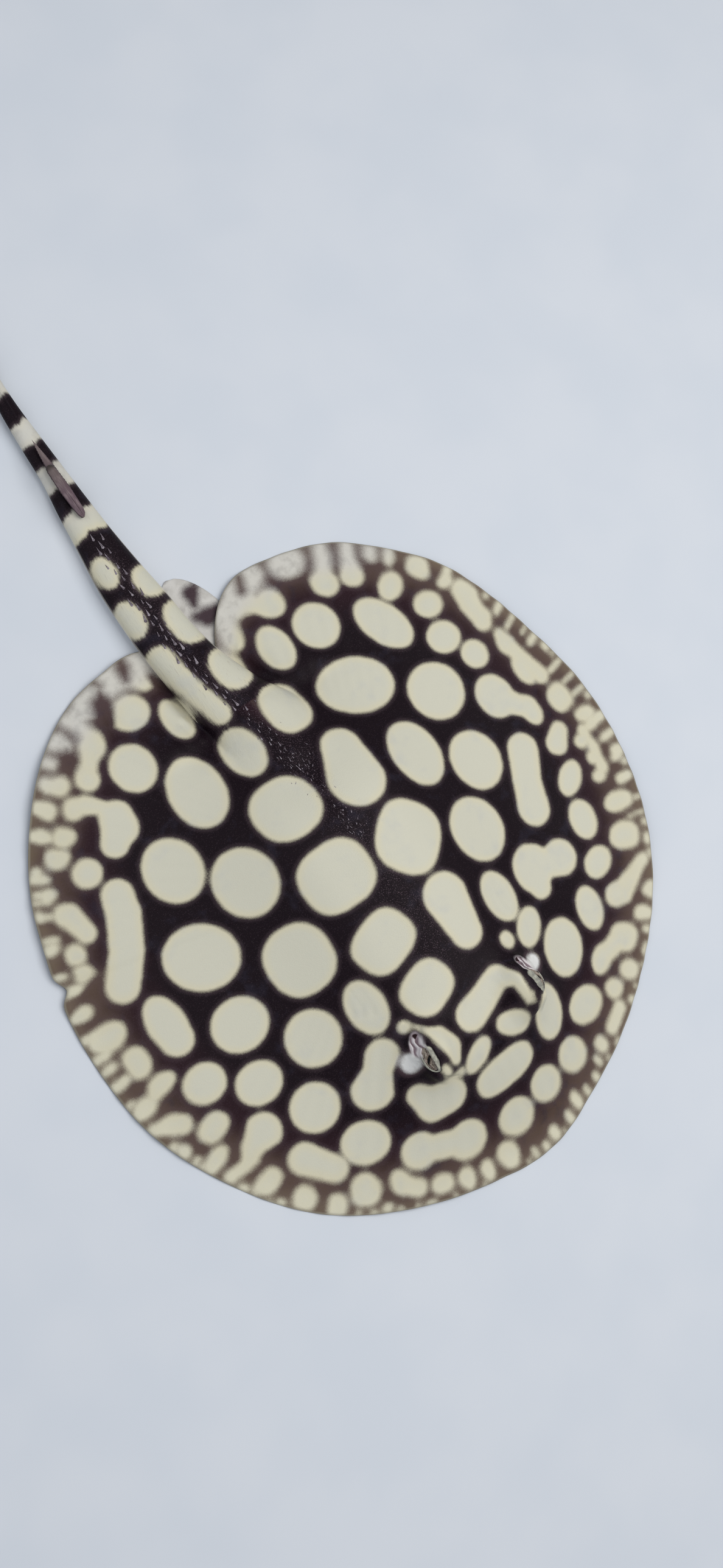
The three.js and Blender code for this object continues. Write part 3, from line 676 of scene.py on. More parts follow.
# Spots that have run together: each is a string of rounds, x, y, radius.
STRINGS = (
    ((34, 140.5, 8), (58, 130, 7.5)), ((98, 112, 7.7), (108, 98.5, 9.2)),
    ((67.5, 146, 4), (74, 138, 4)), ((62, 89, 11.5), (55.5, 82.5, 8), (50, 77, 9)),
    ((32, 114, 9.5), (41, 113, 10), (45.5, 104.5, 6.5)),
    ((117.5, 75, 10.5), (125, 78, 7), (133, 84, 4), (143, 84, 4)), ((127, 12, 9.5), (127, -4, 6)),
    (
        (97.5, -86, 8), (91, -91.5, 10.5), (89.5, -97, 9.5), (92.5, -105, 4.5), (99, -111, 6),
        (104, -112.5, 5),
    ),
    ((134, -57, 6), (136, -69, 7)), ((134, -25, 9.5), (123, -38, 9.5), (114, -54, 9.5), (111, -64, 9)),
    ((-17.5, -45, 16.2), (-22.5, -62, 11.5)), ((-76.5, 47.5, 14), (-73.5, 56.5, 8)),
    ((-97, 22, 10.5), (-103, 8, 9.5), (-112, -7, 10)), ((-132, 1, 7.5), (-138, -4, 6)),
    ((-117, -39, 9), (-130.5, -22, 6)), ((-138, -76, 6), (-138, -89, 7.5), (-139, -97, 7)),
    ((-91, -136, 7.5), (-98, -150, 3.5)), ((-75.5, -141, 6), (-84, -153, 5)),
    ((-94, 51.5, 11), (-85, 50, 8.5), (-76.5, 47.5, 14.5)), ((-20, 30, 13.5), (-19, 50, 10)),
    ((-25, 97, 2.6), (-25, 84, 4.2), (-18.5, 78, 7), (-5, 83.5, 8.6), (3, 86, 9.3)),
    ((-83, 109, 6), (-101, 106.5, 7)), ((-138, 80, 4.5), (-124, 83, 4.5), (-112, 86.5, 6)),
    ((23, 98, 4.2), (21.5, 92, 6.4), (24, 84, 5.6), (28, 78, 2.6), (31, 73, 1.6)),
    ((30, 105.5, 1.5), (26.5, 106, 2.6), (22.5, 106.5, 3.0)), ((31, 98.5, 2.8), (30.5, 102, 2.8)),
    ((-27, 99, 1.6), (-27.5, 94.5, 2.0)), ((16.5, -111, 6.2), (21, -130, 6), (25, -152, 7.5)),
)

# The margin, where the web breaks up into teeth: angle from the snout, depth from the rim, and
# the size along and across the rim.
MARGIN = (
    (-164.5, 4, 8, 14), (-158.2, 4, 18, 15), (-151.5, 3.5, 8, 13), (-146.7, 4, 8, 14),
    (-142.6, 3.5, 8.5, 11), (-139.3, 4, 7, 14), (-133.9, 6.5, 14, 15), (-128.4, 5, 7, 16),
    (-124, 8, 17, 15), (-120.3, 2, 5, 6), (-117.3, 3.5, 6.5, 12), (-119.2, 15, 11, 15),
    (-114.1, 5, 5, 15), (-111, 3, 4.5, 9), (-108.7, 3.5, 6.5, 12), (-105.9, 1.5, 8, 7),
    (-103.9, 1.5, 4, 6), (-102.1, 6, 5.5, 16), (-98.6, 5, 4.5, 14), (-97, 16, 18, 13),
    (-95.5, 5, 5, 14), (-93.6, 1.5, 6, 7), (-91, 10, 10, 14), (-89, 6, 8, 18), (-85.3, 3.5, 6.5, 13),
    (-81.8, 3, 9, 12), (-79.2, 1.5, 6, 7), (-76.5, 6, 8, 13), (-72.3, 14, 12.5, 19), (-72, 2, 5, 9),
    (-69, 3, 4, 9), (-68.6, 9, 4, 7), (-67, 1, 6, 7), (-63.8, 1.5, 9, 7), (-61, 1, 7, 6),
    (-65, 14, 17, 17), (-54, 1, 12, 10), (-49.3, 4.5, 9.5, 13), (-46.3, 1, 6.5, 9),
    (-43.7, 13.5, 18, 15), (-42.5, 0, 10, 7), (-39.5, 0, 4, 5), (-37.7, 6.5, 12.5, 12), (-35, 1, 4, 5),
    (-32.4, 0.5, 7, 8), (-32.7, 13, 13, 11), (-24, 0, 7, 6), (-21.5, 9, 10, 12), (-20.4, 1, 5, 5),
    (-18.6, 6, 6, 9), (-16.1, 2, 6.5, 9), (-13, 2.5, 6, 9), (-10.2, 5.5, 8.5, 13), (-7.2, 3, 7, 11),
    (-5, 0.5, 3.5, 6), (-3.1, 4.7, 8.5, 11), (-0.5, 2, 6, 9), (1.9, 3, 5.5, 10), (3.6, 0.5, 4, 6),
    (6.5, 8.5, 12, 15), (11.2, 6.5, 8, 13), (12.7, 0, 4, 5), (15.2, 6.5, 8.5, 14), (20, 8.5, 13, 11),
    (18.3, 0, 4, 5), (22.8, 0, 8, 6), (25.3, 0, 5, 5), (28.5, 0, 6, 6), (34.8, 11, 17, 16),
    (30.7, 0.5, 6, 8), (33.2, 0, 6, 6), (35.9, 0, 5, 7), (39.8, 4, 12, 14), (45.8, 5.5, 14, 14),
    (49.6, 0, 7, 8), (51.6, -1, 4, 5), (52.8, 9, 10.5, 16), (54.4, 1, 5, 9), (56.5, 0, 8, 9),
    (63.2, 7, 9.5, 18), (64.6, 1, 5, 7), (66, 1.5, 5.5, 9), (68.6, 2.5, 8, 10), (70.6, 1, 7, 9),
    (66.8, 20, 14, 18), (75.2, 1, 8, 9), (78.8, 5, 9, 15), (79.4, 17, 9, 14), (81, 1.5, 5.5, 9),
    (84.9, 4, 7.5, 15), (86, 16, 18, 12), (88, 2.5, 5.5, 12), (90.6, 4, 7, 14), (92.8, 12, 15, 17),
    (94.6, 4, 7, 13), (98.7, 5, 7, 14), (103.4, 3.5, 8, 12), (106.4, 2.5, 6, 10), (106.2, 14, 8, 11),
    (109.3, 13.5, 12, 11), (111.3, 1, 7, 9), (113, 4, 6, 11), (117, 14, 13, 12), (117.2, 4, 5.5, 13),
    (114.5, 20, 10, 8), (119.8, 4, 5, 12), (121.2, 6, 6, 14), (123.8, 4, 7, 14), (127.5, 12.5, 12, 12),
    (131.2, 5, 8, 16), (131.5, 16, 12, 12), (136, 5.5, 10, 15), (140.2, 8, 10, 17), (143.9, 3, 8, 11),
    (137, 20, 13, 12), (148, 5, 7, 14), (152, 6, 7, 15), (156.2, 6, 6, 14), (161.2, 6, 12, 14),
    (166.8, 9, 14, 15),
)
MARGIN_STRINGS = (
    # angle, depth, radius
    ((-124, 9, 7), (-119.5, 15, 6)), ((-114.5, 16.5, 5), (-108, 18, 6), (-103, 17, 6)),
    ((-88.5, 17.5, 4.8), (-86.4, 17.3, 3.4), (-84.3, 16.5, 4.6), (-82.3, 17, 3.4), (-80, 17, 5)),
    ((-59.5, 8, 4.5), (-56, 13, 5), (-52.5, 19, 6.5)), ((-29.8, 7, 5), (-25.6, 7, 5.3)),
    ((25, 9.5, 5.5), (28.2, 13.5, 6)), ((57, 16, 4), (59.3, 3, 4)), ((71.8, 13, 6), (74.6, 4, 4.5)),
)

# On the rear lobes the pale ground runs together, and soft dark blotches lie on it.
LOBE_RUNS = (
    ((31, -156, 9), (52, -158, 8), (64, -156, 6.5), (76, -151, 6)),
    ((77, -148, 4), (76, -138, 5), (85, -127, 5)),
    ((-15, -141, 6), (-18.5, -153.5, 7), (-28.5, -159, 9), (-41.5, -164, 8)),
    ((-29, -157.5, 5.5), (-39.5, -147, 6)),
)
LOBE_BLOTCHES = (
    ((40, -165, 2.4), (41.5, -160, 3.6), (43.5, -154, 1.8)), ((59, -163, 1.6), (57, -158, 0.8)),
    ((58.5, -156, 0.8), (61.5, -149.5, 5.2), (66, -140, 4.2)),
    ((31, -148, 1.8), (30, -141, 3.8), (27, -136, 3.0)), ((90, -139, 0.8), (91.5, -136, 1.8)),
    ((-38.5, -168, 2.0), (-35, -161, 2.2)), ((-20, -163, 0.8), (-24, -166, 1.2)),
)

# Dark blotches of the pelvic fins, which are pale otherwise.
FIN_BLOTCHES = (
    ((-16, -176.5, 2.2), (-12.5, -174.5, 4.2), (-10.5, -168.5, 1.8)),
    ((-8, -162, 2.6), (-13, -159.5, 5), (-19, -160, 3)), ((36, -148, 4.0), (40, -140, 3.0)),
    ((33, -128, 3.0), (38, -124, 4.0)),
)

# Bands of the tail past its last spots: y of the near and the far edge.
BANDS = (
    (-226, -241.5), (-254, -269.5), (-282, -296.5), (-311, -326), (-341, -354), (-369, -381),
    (-396, -406),
)
BANDED_FROM = -218


def oval_inside(dx, dy, wide, tall, lean=0.0, square=2.0):
    """Signed distance from an oval's edge, positive inside it."""
    turn = (lean if wide >= tall else -lean) * DEG
    c, s = math.cos(turn), math.sin(turn)
    u, v = np.abs(dx * c + dy * s) + 1e-6, np.abs(dy * c - dx * s) + 1e-6
    a, b = wide / 2, tall / 2
    q = ((u / a) ** square + (v / b) ** square) ** (1 / square)
    slope = q ** (1 - square) * np.hypot(u ** (square - 1) / a**square, v ** (square - 1) / b**square)
    return np.minimum((1 - q) / np.maximum(slope, 1 / max(a, b)), min(a, b))


def string_inside(x, y, rounds):
    """The same for a string of rounds, which taper from each one to the next."""
    best = np.full(len(x), -99.0)
    for (ax, ay, ar), (bx, by, br) in zip(rounds, rounds[1:]):
        wx, wy = bx - ax, by - ay
        t = np.clip(((x - ax) * wx + (y - ay) * wy) / (wx * wx + wy * wy), 0, 1)
        best = np.maximum(best, mix(ar, br, t) - np.hypot(x - ax - t * wx, y - ay - t * wy))
    return best


def strings_inside(x, y, rows):
    return np.max([string_inside(x, y, rounds) for rounds in rows], axis=0)


REACH = 7.0  # millimetres round a spot in which it is felt
STRING_REACH = 22.0  # and round the middles of a string's rounds
NEARBY = (-0.9, 0, 0.9)  # steps about a point over which its distance is averaged
MARGIN_SHIFT = 0.4  # the margin's marks lie this much further from the rim than their rows say
MARGIN_END = 169.5  # degrees from the snout; the tail takes up the rest
MARGIN_LEVEL = 10.0  # the depth at which the strings of the margin are measured out
FAR_IN = 60.0  # depths from the rim are told apart as far as this
UPPER_SIDE = 20.0  # no skin above this height is the belly's, however far its folds hang over
WHITE_LOBE = {"x": 41.5, "right_y": 88, "left_y": 85}  # beside each spiracle


def spot_distance(x, y):
    """Signed distance from the edge of the nearest pale spot, positive inside, on the plan."""
    found = np.full(len(x), -REACH)

    def lay_in(near, make, soft=1.1):
        chosen = np.nonzero(near)[0]
        if len(chosen):
            found[chosen] = join_soft(found[chosen], make(chosen), soft)

    for row in SPOTS:
        cx, cy, size = row[0], row[1], max(row[2:4]) / 2 + REACH
        near = (np.abs(x - cx) < size) & (np.abs(y - cy) < size)
        lay_in(near, lambda i: oval_inside(x[i] - cx, y[i] - cy, *row[2:]))
    for rounds in STRINGS:
        xs, ys = [r[0] for r in rounds], [r[1] for r in rounds]
        near = (x > min(xs) - STRING_REACH) & (x < max(xs) + STRING_REACH)
        near = near & (y > min(ys) - STRING_REACH) & (y < max(ys) + STRING_REACH)
        lay_in(near, lambda i: string_inside(x[i], y[i], rounds))

    angle, share = polar(x, y)
    depth = (1 - share) * rim_radius(angle) - MARGIN_SHIFT
    on_disc = (depth > -3) & (np.abs(angle) < MARGIN_END)
    for at, deep, wide, tall in MARGIN:
        across = (angle - at) * DEG * (DISC_RADIUS - deep)
        near = on_disc & (np.abs(across) < wide / 2 + REACH) & (np.abs(depth - deep) < tall / 2 + REACH)
        lay_in(near, lambda i: oval_inside(across[i], depth[i] - deep, wide, tall, 0, 2.4), 2.2)
    for rounds in MARGIN_STRINGS:
        at = rounds[0][0]
        per_degree = DEG * (DISC_RADIUS - MARGIN_LEVEL)
        across = (angle - at) * per_degree
        laid = [((a - at) * per_degree, d, r) for a, d, r in rounds]
        near = on_disc & (across > -20) & (across < laid[-1][0] + 20) & (depth < 35)
        lay_in(near, lambda i: string_inside(across[i], depth[i], laid))
    return found


def band_distance(x, y):
    """The same for the bands round the end of the tail, whose edges waver."""
    waver = 0.8 * np.sin(x * 0.42 + y * 0.05) + 0.4 * np.sin(x * 1.1 + 2.0)
    found = np.full(len(x), -REACH)
    for near_edge, far_edge in BANDS:
        middle, half = (near_edge + far_edge) / 2, (near_edge - far_edge) / 2
        found = np.maximum(found, half - np.abs(y - middle + waver))
    return found


def pale_marks(x, y, laid_out, angle, depth, on_tail, on_fin):
    """The distance from the edge of the pale marks, and how grey they are."""
    aside = on_tail | on_fin
    # Averaged over a face or so, which keeps narrow webs from breaking up between the points.
    steps = [(dx, dy) for dx in NEARBY for dy in NEARBY]
    spot = sum(spot_distance(laid_out + dx, y + dy) for dx, dy in steps) / len(steps)
    spot = np.where(y < BANDED_FROM, join_soft(spot, band_distance(x, y)), spot)
    # Along the rim, and most of all on the rear lobes, the pale spots run together.
    swell = 0.9 * ease(140, 152, np.abs(angle)) - 0.3
    spot = spot + np.where(aside, 0, swell * ease(17, 3, depth))
    spot = np.where(aside, spot, join_soft(spot, strings_inside(x, y, LOBE_RUNS), 4.5))
    spot = np.where(aside, spot, np.minimum(spot, -strings_inside(x, y, LOBE_BLOTCHES)))
    spot = np.where(on_fin, -strings_inside(x, y, FIN_BLOTCHES), spot)
    # Their edges are softer near the rim than on the back.
    spot = mix(spot, 0.62 * spot + 0.3, np.where(aside, 0, ease(45, 12, depth)))
    # On the fins and the rear lobes the marks are greyer and run out softly.
    lobe = ease(-120, -145, y) * ease(24, 12, depth)
    ashen = np.where(on_fin, 1, np.where(on_tail, 0.6 * ease(-226, -245, y), 0.8 * lobe))
    spot = np.where(on_tail, spot, mix(spot, 0.45 * spot + 0.55, ashen))
    return np.clip(spot, -REACH, REACH), ashen


def belly_share(points, facing, on_tail):
    """1 where the skin is the belly's white; less along the sides of the tail and at its end."""
    x, y, z = points.T
    centre, half, top, under = tail_at(y)
    level = (z - under) / (top - under)
    belly = np.where(on_tail, ease(0.34, 0.1, level), (facing < -0.05) & (z < UPPER_SIDE))
    belly = np.where(on_tail & (y < -232), belly * 0.35, belly)
    flank = on_tail * ease(0.52, 0.3, level) * ease(-138, -150, y) * ease(-236, -226, y)
    edge = on_tail * ease(0.93, 0.985, (centre - x) / half) * ease(-120, -140, y)
    edge = edge * ease(-240, -228, y)
    return np.maximum(belly, np.maximum(flank, edge * 0.8))


def head_marks(points, belly):
    """How far out on the lids the points lie, how far from an opening, and how high on the spiracle's
    folds, which places painted highlight and painted shade in it.
    """
    x, y, z = points.T
    lid, opening, pleat = (np.full(len(x), start) for start in (9.0, 3.0, 0.0))
    for eye in EYES:
        near = np.hypot(x - eye.centre[0], y - eye.centre[1]) < LID_REACH
        a, b, _ = eye.local(points[near])
        lid[near] = np.minimum(lid[near], eye.lid(a, b))
        along, across = spiracle_place(x, y, eye.side)
        q = np.hypot(along, across)
        # The spiracle's deep rear end counts as far down its folds, so that it is painted dark as shade.
        hollow = 3.2 * ease(-0.05, 0.25, -along - 0.35 - 1.1 * np.abs(across)) * ease(1.0, 0.85, q)
        pleat = np.where(q < 1.6, spiracle_folds(along, across) - hollow, pleat)
        opening = np.where(z > UPPER_SIDE, np.minimum(opening, q), opening)
    for row in slots():
        distance, _ = slot_distance(x, y, row)
        opening = np.where(belly > 0.5, np.minimum(opening, distance / row[3]), opening)
    return lid, opening, pleat


def stipple_share(x, y, facing):
    """Where pale grains are strewn: up the middle of the back and along the crest of the tail."""
    on_back = hill(x, 11) * ease(75, 40, y) * ease(-112, -80, y)
    line = np.interp(y, (-215, -180, -140, -110, -80), (14, 15, 13, 6, 4))
    on_crest = hill(x - line, 5) * ease(-225, -205, y) * ease(-60, -80, y)
    return np.maximum(on_back, on_crest) * (facing > 0)


def mark(skin):
    """Writes the measures that the skin's finish reads onto its points."""
    points = points_of(skin) / MM
    facing = vectors(skin.data.vertices, "normal")[:, 2]
    x, y, z = points.T
    angle, share = polar(x, y)
    depth = np.clip((1 - share) * rim_radius(angle), 0, FAR_IN)
    on_tail, on_fin = read(skin, "tail") > 0.5, read(skin, "fin") > 0.5
    # The spots of the tail's sides are laid out flat beside it below its widest part.
    centre, half, top, under = tail_at(y)
    low_side = on_tail & (z < under + (top - under) * TAIL_WAIST)
    laid_out = np.where(low_side, centre + np.sign(x - centre) * (2 * half - np.abs(x - centre)), x)
    spot, ashen = pale_marks(x, y, laid_out, angle, depth, on_tail, on_fin)
    lobe_y = np.where(x > 0, WHITE_LOBE["right_y"], WHITE_LOBE["left_y"])
    white = ease(8, 4, np.hypot(np.abs(x) - WHITE_LOBE["x"], y - lobe_y))
    belly = belly_share(points, facing, on_tail)
    lid, opening, pleat = head_marks(points, belly)
    measures = {
        "spot": spot, "depth": np.where(on_tail | on_fin, FAR_IN, depth), "belly": belly, "lid": lid,
        "opening": opening, "stipple": stipple_share(x, y, facing), "pleat": pleat,
        "ashen": np.maximum(ashen, 1.6 * white * (z > UPPER_SIDE)),
    }
    for name, value in measures.items():
        give(skin, name, value)


# ---- eyes ----------------------------------------------------------------------------------
# The slit of the pupil, hooked at its rear end, and the scrolls of the iris, as strings of rounds:
# along the eye from rear to front, across it towards the animal's side, radius.
PUPIL = (
    (-1.5, -0.2, 0.6), (-0.4, 0.8, 0.8), (0.8, 1.8, 0.55), (1.7, 2.2, 0.24), (3.4, 1.9, 0.1),
    (5.0, 1.5, 0.08),
)
SCROLLS = (
    ((-5.6, 0.4, 0.1), (-4.4, 0.0, 0.14), (-2.6, 0.3, 0.1)),
    ((-4.6, 1.7, 0.1), (-3.0, 2.0, 0.14), (-1.6, 2.6, 0.1)),
    ((1.0, -0.4, 0.08), (2.6, 0.3, 0.12), (4.6, 0.5, 0.08)),
    ((-2.4, -0.5, 0.1), (-1.6, -0.7, 0.12), (0.2, -0.7, 0.08)),
)


def eyeball(eye):
    """An eyeball with the scrolls of its iris and the slit of its pupil in its surface."""
    bpy.ops.object.select_all(action="DESELECT")
    bpy.ops.mesh.primitive_uv_sphere_add(segments=144, ring_count=96, radius=1)
    ball = new_piece("eyeball_right" if eye.side > 0 else "eyeball_left")
    unit = points_of(ball)
    # It is a little smaller than the hollow that the lids are wrapped round, and lies low in it.
    a, b = unit[:, 0] * eye.ball_long * 0.9, unit[:, 1] * eye.ball_short * 0.82 + eye.droop
    n = unit[:, 2] * (eye.radius - 0.05)
    front = ease(0.3, 0.6, unit[:, 2])
    slit = -string_inside(a, b, PUPIL)
    scroll = -strings_inside(a, b, SCROLLS)
    n = n + (0.22 * hill(scroll - 0.45, 0.3) - 0.25 * ease(0.25, 0, scroll)) * front
    n = n - 0.5 * ease(0.25, -0.2, slit) * front
    places = eye.centre + np.outer(a, eye.along) + np.outer(b, eye.across) + np.outer(n, eye.out)
    lay(ball, places * MM)
    give(ball, "scroll", np.where(unit[:, 2] > 0, scroll, 3))
    give(ball, "slit", np.where(unit[:, 2] > 0, slit, 3))
    tidy_up(ball)
    return ball


# ---- tail stings ---------------------------------------------------------------------------
# The half width of each blade by the share of the way from its root to its point. The upper sting
# is the older one, worn blunt.
SHARP = ((0, 0.8), (0.06, 1.7), (0.3, 2.3), (0.62, 2.1), (0.72, 1.7), (0.87, 0.85), (1, 0.03))
BLUNT = ((0, 0.9), (0.05, 1.9), (0.2, 2.55), (0.55, 2.8), (0.85, 2.5), (0.97, 2.2), (1, 1.5))
STINGS = (
    {"node": "sting_lower", "turn": -0.6, "teeth": 30, "worn": 0.0, "shape": np.array(SHARP)},
    {"node": "sting_upper", "turn": 0.6, "teeth": 18, "worn": 1.0, "shape": np.array(BLUNT)},
)


def sting(form):
    """A blade of bone with a low ridge and small barbs, its root sunk in the skin of the tail."""
    low, high = (np.array(corner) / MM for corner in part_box(form["node"]))
    blade = sheet(form["node"] + "_bone", 20, 8 * form["teeth"])
    flat = points_of(blade)
    across, v = flat[:, 0], (flat[:, 1] + 1) / 2
    u = np.abs(across)
    half = along(form["shape"], v)[0]
    saw = (v * form["teeth"]) % 1
    barb = 0.28 * (1 - saw) * ease(0.35, 0.5, v) * ease(0.97, 0.9, v) * u**8
    x = across * half + np.sign(across) * barb
    length, room = high[1] - low[1] + 0.5, high[2] - low[2]
    full = np.clip(half / 2.2, 0.15, 1)
    # Rounded over its width, with a groove up the middle that closes half way along.
    crown = room * (0.5 - 0.36 * u**2.5) * full + 0.14 * hill(u, 0.35) * full
    crown = crown - 0.3 * hill(u, 0.07) * ease(0.55, 0.35, v) * ease(0, 0.06, v)
    crown = crown + 0.35 * form["worn"] * ease(0.3, 0.9, v) * (1 - ease(0.95, 1, v)) * (1 - u**4)
    foot = 0.1 * u - 0.8 * ease(0.14, 0, v)
    z = low[2] + 0.35 * room + np.where(flat[:, 2] > -0.5, crown + 0.4 * foot, foot)
    y = high[1] + 2.6 * mix(1, form["worn"], v) - v * length
    x = (low[0] + high[0]) / 2 + x + (v - 0.5) * length * math.sin(form["turn"] * DEG)
    lay(blade, np.stack([x, y, z], -1) * MM)
    give(blade, "across", u)
    give(blade, "along", v)
    # The upper sting's blunt end is painted dark as shade.
    give(blade, "worn", form["worn"] * ease(0.87, 0.96, v))
    tidy_up(blade, merge=2e-5)
    return blade


# ---- thorns --------------------------------------------------------------------------------
# Places where thorns stand: y from, y to, how many, spread about the line, length.
THORN_ROWS = (
    {"from": -64, "to": -104, "count": 14, "spread": 5.0, "length": 2.4},
    {"from": -104, "to": -138, "count": 13, "spread": 7.0, "length": 3.6},
    {"from": -138, "to": -184, "count": 22, "spread": 8.5, "length": 4.2},
    {"from": -184, "to": -224, "count": 15, "spread": 7.5, "length": 4.2},
)
THORN_SIDES = 6
GOLDEN = 0.618  # steps of this share never fall into line
PRICKLES = (
    {"x": 1.0, "y": -70, "half_x": 8, "half_y": 26, "count": 70},
    {"x": 0.0, "y": -28, "half_x": 5, "half_y": 14, "count": 30},
)


def middle_line(y):
    """Where the row of thorns runs: the middle of the back, then the crest of the tail."""
    return np.interp(y, (-215, -180, -140, -110, -80), (16.5, 17, 15.5, 9, 5))


def thorn_shape():
    """One thorn a millimetre long: a slim blade on a broad foot, bent back along the body."""
    bpy.ops.object.select_all(action="DESELECT")
    foot = {"radius1": 0.21, "radius2": 0.15, "depth": 0.1, "location": (0, 0, 0.01)}
    bpy.ops.mesh.primitive_cone_add(vertices=THORN_SIDES, **foot)
    thorn = new_piece("thorn")
    bpy.ops.object.transform_apply(location=True)
    start_selection(thorn)
    top = int(np.argmax(face_middles(thorn)[:, 2]))
    thorn.data.polygons[top].select = True
    bpy.ops.object.mode_set(mode="EDIT")
    bpy.ops.mesh.extrude_region_move(TRANSFORM_OT_translate={"value": (0, -0.4, 0.03)})
    bpy.ops.transform.resize(value=(0.6, 0.6, 0.6))
    bpy.ops.mesh.extrude_region_move(TRANSFORM_OT_translate={"value": (0, -0.55, 0.01)})
    bpy.ops.mesh.merge(type="CENTER")
    bpy.ops.object.mode_set(mode="OBJECT")
    return thorn


def unwrap_place(x, y):
    """Where a point of the back lies on the skin laid flat, as shares of the sheet."""
    return 0.5 + x / 700, 0.5 + (y + 135) / 700


def plant(name, model, places):
    """Copies the model to each place (x, y, length, turn) on the skin and joins the copies."""
    skin = bpy.data.objects["skin"]
    copies = []
    for x, y, length, turn in places:
        hit, spot, normal, _ = skin.ray_cast(Vector((x * MM, y * MM, 0.1)), Vector((0, 0, -1)))
        if not hit:
            continue
        copy = model.copy()
        copy.data = model.data.copy()
        lean = normal.rotation_difference(Vector((0, 0, 1))).inverted().to_matrix().to_4x4()
        size = Matrix.Scale(length * MM, 4)
        copy.data.transform(Matrix.Translation(spot) @ lean @ Matrix.Rotation(turn, 4, "Z") @ size)
        u, v = unwrap_place(spot.x / MM, spot.y / MM)
        layer = copy.data.uv_layers.new(name="OFBake")
        for i, loop in enumerate(layer.data):
            angle = 2 * math.pi * (i % THORN_SIDES) / THORN_SIDES
            loop.uv = (u + 0.0015 * math.cos(angle), v + 0.0015 * math.sin(angle))
        bpy.context.scene.collection.objects.link(copy)
        copies.append(copy)
    bpy.ops.object.select_all(action="DESELECT")
    for copy in copies:
        copy.select_set(True)
    bpy.context.view_layer.objects.active = copies[0]
    bpy.ops.object.join()
    joined = new_piece(name)
    bpy.ops.object.shade_smooth_by_angle(angle=0.9)
    return joined


def thorn_places():
    places = []
    for row in THORN_ROWS:
        for i in range(row["count"]):
            y = mix(row["from"], row["to"], (i + RNG.uniform(0.2, 0.8)) / row["count"])
            x = middle_line(y) + ((i * GOLDEN) % 1 - 0.5) * row["spread"]
            places.append((x, y, row["length"] * RNG.uniform(0.6, 1.2), RNG.normal(0, 0.12)))
    return places


def prickle_places():
    places = []
    for patch in PRICKLES:
        for _ in range(patch["count"]):
            x = patch["x"] + RNG.normal(0, 0.5) * patch["half_x"]
            y = patch["y"] + RNG.normal(0, 0.5) * patch["half_y"]
            places.append((x, y, RNG.uniform(0.7, 1.5), RNG.normal(0, 0.4)))
    return places


# ---- finishes ------------------------------------------------------------------------------
def paint(red, green, blue):
    """A colour as painters' charts give it, turned into the strengths of light that it is."""
    parts = (c / 255 for c in (red, green, blue))
    return tuple(c / 12.92 if c <= 0.04045 else ((c + 0.055) / 1.055) ** 2.4 for c in parts) + (1.0,)


class Value:
    """Something that varies over a surface: an expression on it adds Math nodes."""

    def __init__(self, finish, socket):
        self.finish = finish
        self.socket = socket

    def math(self, operation, *values):
        return self.finish.node("ShaderNodeMath", {"operation": operation}, dict(enumerate(values)))

    def __add__(self, other):
        return self.math("ADD", self, other)

    def __sub__(self, other):
        return self.math("SUBTRACT", self, other)

    def __rsub__(self, other):
        return self.math("SUBTRACT", other, self)

    def __mul__(self, other):
        return self.math("MULTIPLY", self, other)

    __radd__, __rmul__ = __add__, __mul__

    def size(self):
        return self.math("ABSOLUTE", self)

    def step(self, start, end):
        """0 up to start and 1 from end on, with a soft rise between; end may be below start."""
        ends = {"From Min": start, "From Max": end, "To Min": 0.0, "To Max": 1.0, "Value": self}
        return self.finish.node("ShaderNodeMapRange", {"interpolation_type": "SMOOTHSTEP"}, ends)

    def near(self, middle, reach):
        """1 at the middle, fading to 0 at reach to either side."""
        return (self - middle).size().step(reach, 0.0)


class Finish:
    """A material in the making."""

    def __init__(self, name, **fixed):
        self.material = bpy.data.materials.new(name)
        self.material.use_nodes = True
        self.tree = self.material.node_tree
        self.shader = self.tree.nodes["Principled BSDF"]
        for socket, value in fixed.items():
            self.shader.inputs[socket.replace("_", " ")].default_value = value

    def node(self, kind, settings=None, values=None, out=0):
        made = self.tree.nodes.new(kind)
        for key, value in (settings or {}).items():
            setattr(made, key, value)
        for key, value in (values or {}).items():
            if isinstance(value, Value):
                self.tree.links.new(value.socket, made.inputs[key])
            else:
                made.inputs[key].default_value = value
        return Value(self, made.outputs[out])

    def measure(self, name):
        """A distance or share that the piece's points carry."""
        return self.node("ShaderNodeAttribute", {"attribute_name": name}, out="Fac")

    def noise(self, grain, detail=2.0, roughness=0.5, stretch=(1, 1, 1)):
        """Mottling with grains of about so many millimetres, around 0; a low stretch draws it out."""
        place = self.node("ShaderNodeTexCoord", out="Object")
        place = self.node("ShaderNodeVectorMath", {"operation": "MULTIPLY"}, {0: place, 1: stretch})
        values = {"Vector": place, "Scale": 1000 / grain, "Detail": detail, "Roughness": roughness}
        return self.node("ShaderNodeTexNoise", values=values) - 0.5

    def blend(self, below, above, share):
        """The colour above laid over the colour below."""
        values = {0: share, 6: below, 7: above}
        return self.node("ShaderNodeMix", {"data_type": "RGBA"}, values, out=2)

    def layers(self, colour, *rows):
        """The colour with others laid over it in turn, each as strongly as its share says."""
        for above, share in rows:
            colour = self.blend(colour, above, share)
        return colour

    def bump(self, height, deep):
        values = {"Height": height, "Distance": deep * MM, "Strength": 1.0}
        return self.node("ShaderNodeBump", values=values)

    def wear(self, **sockets):
        for name, value in sockets.items():
            self.tree.links.new(value.socket, self.shader.inputs[name.replace("_", " ")])
        return self.material


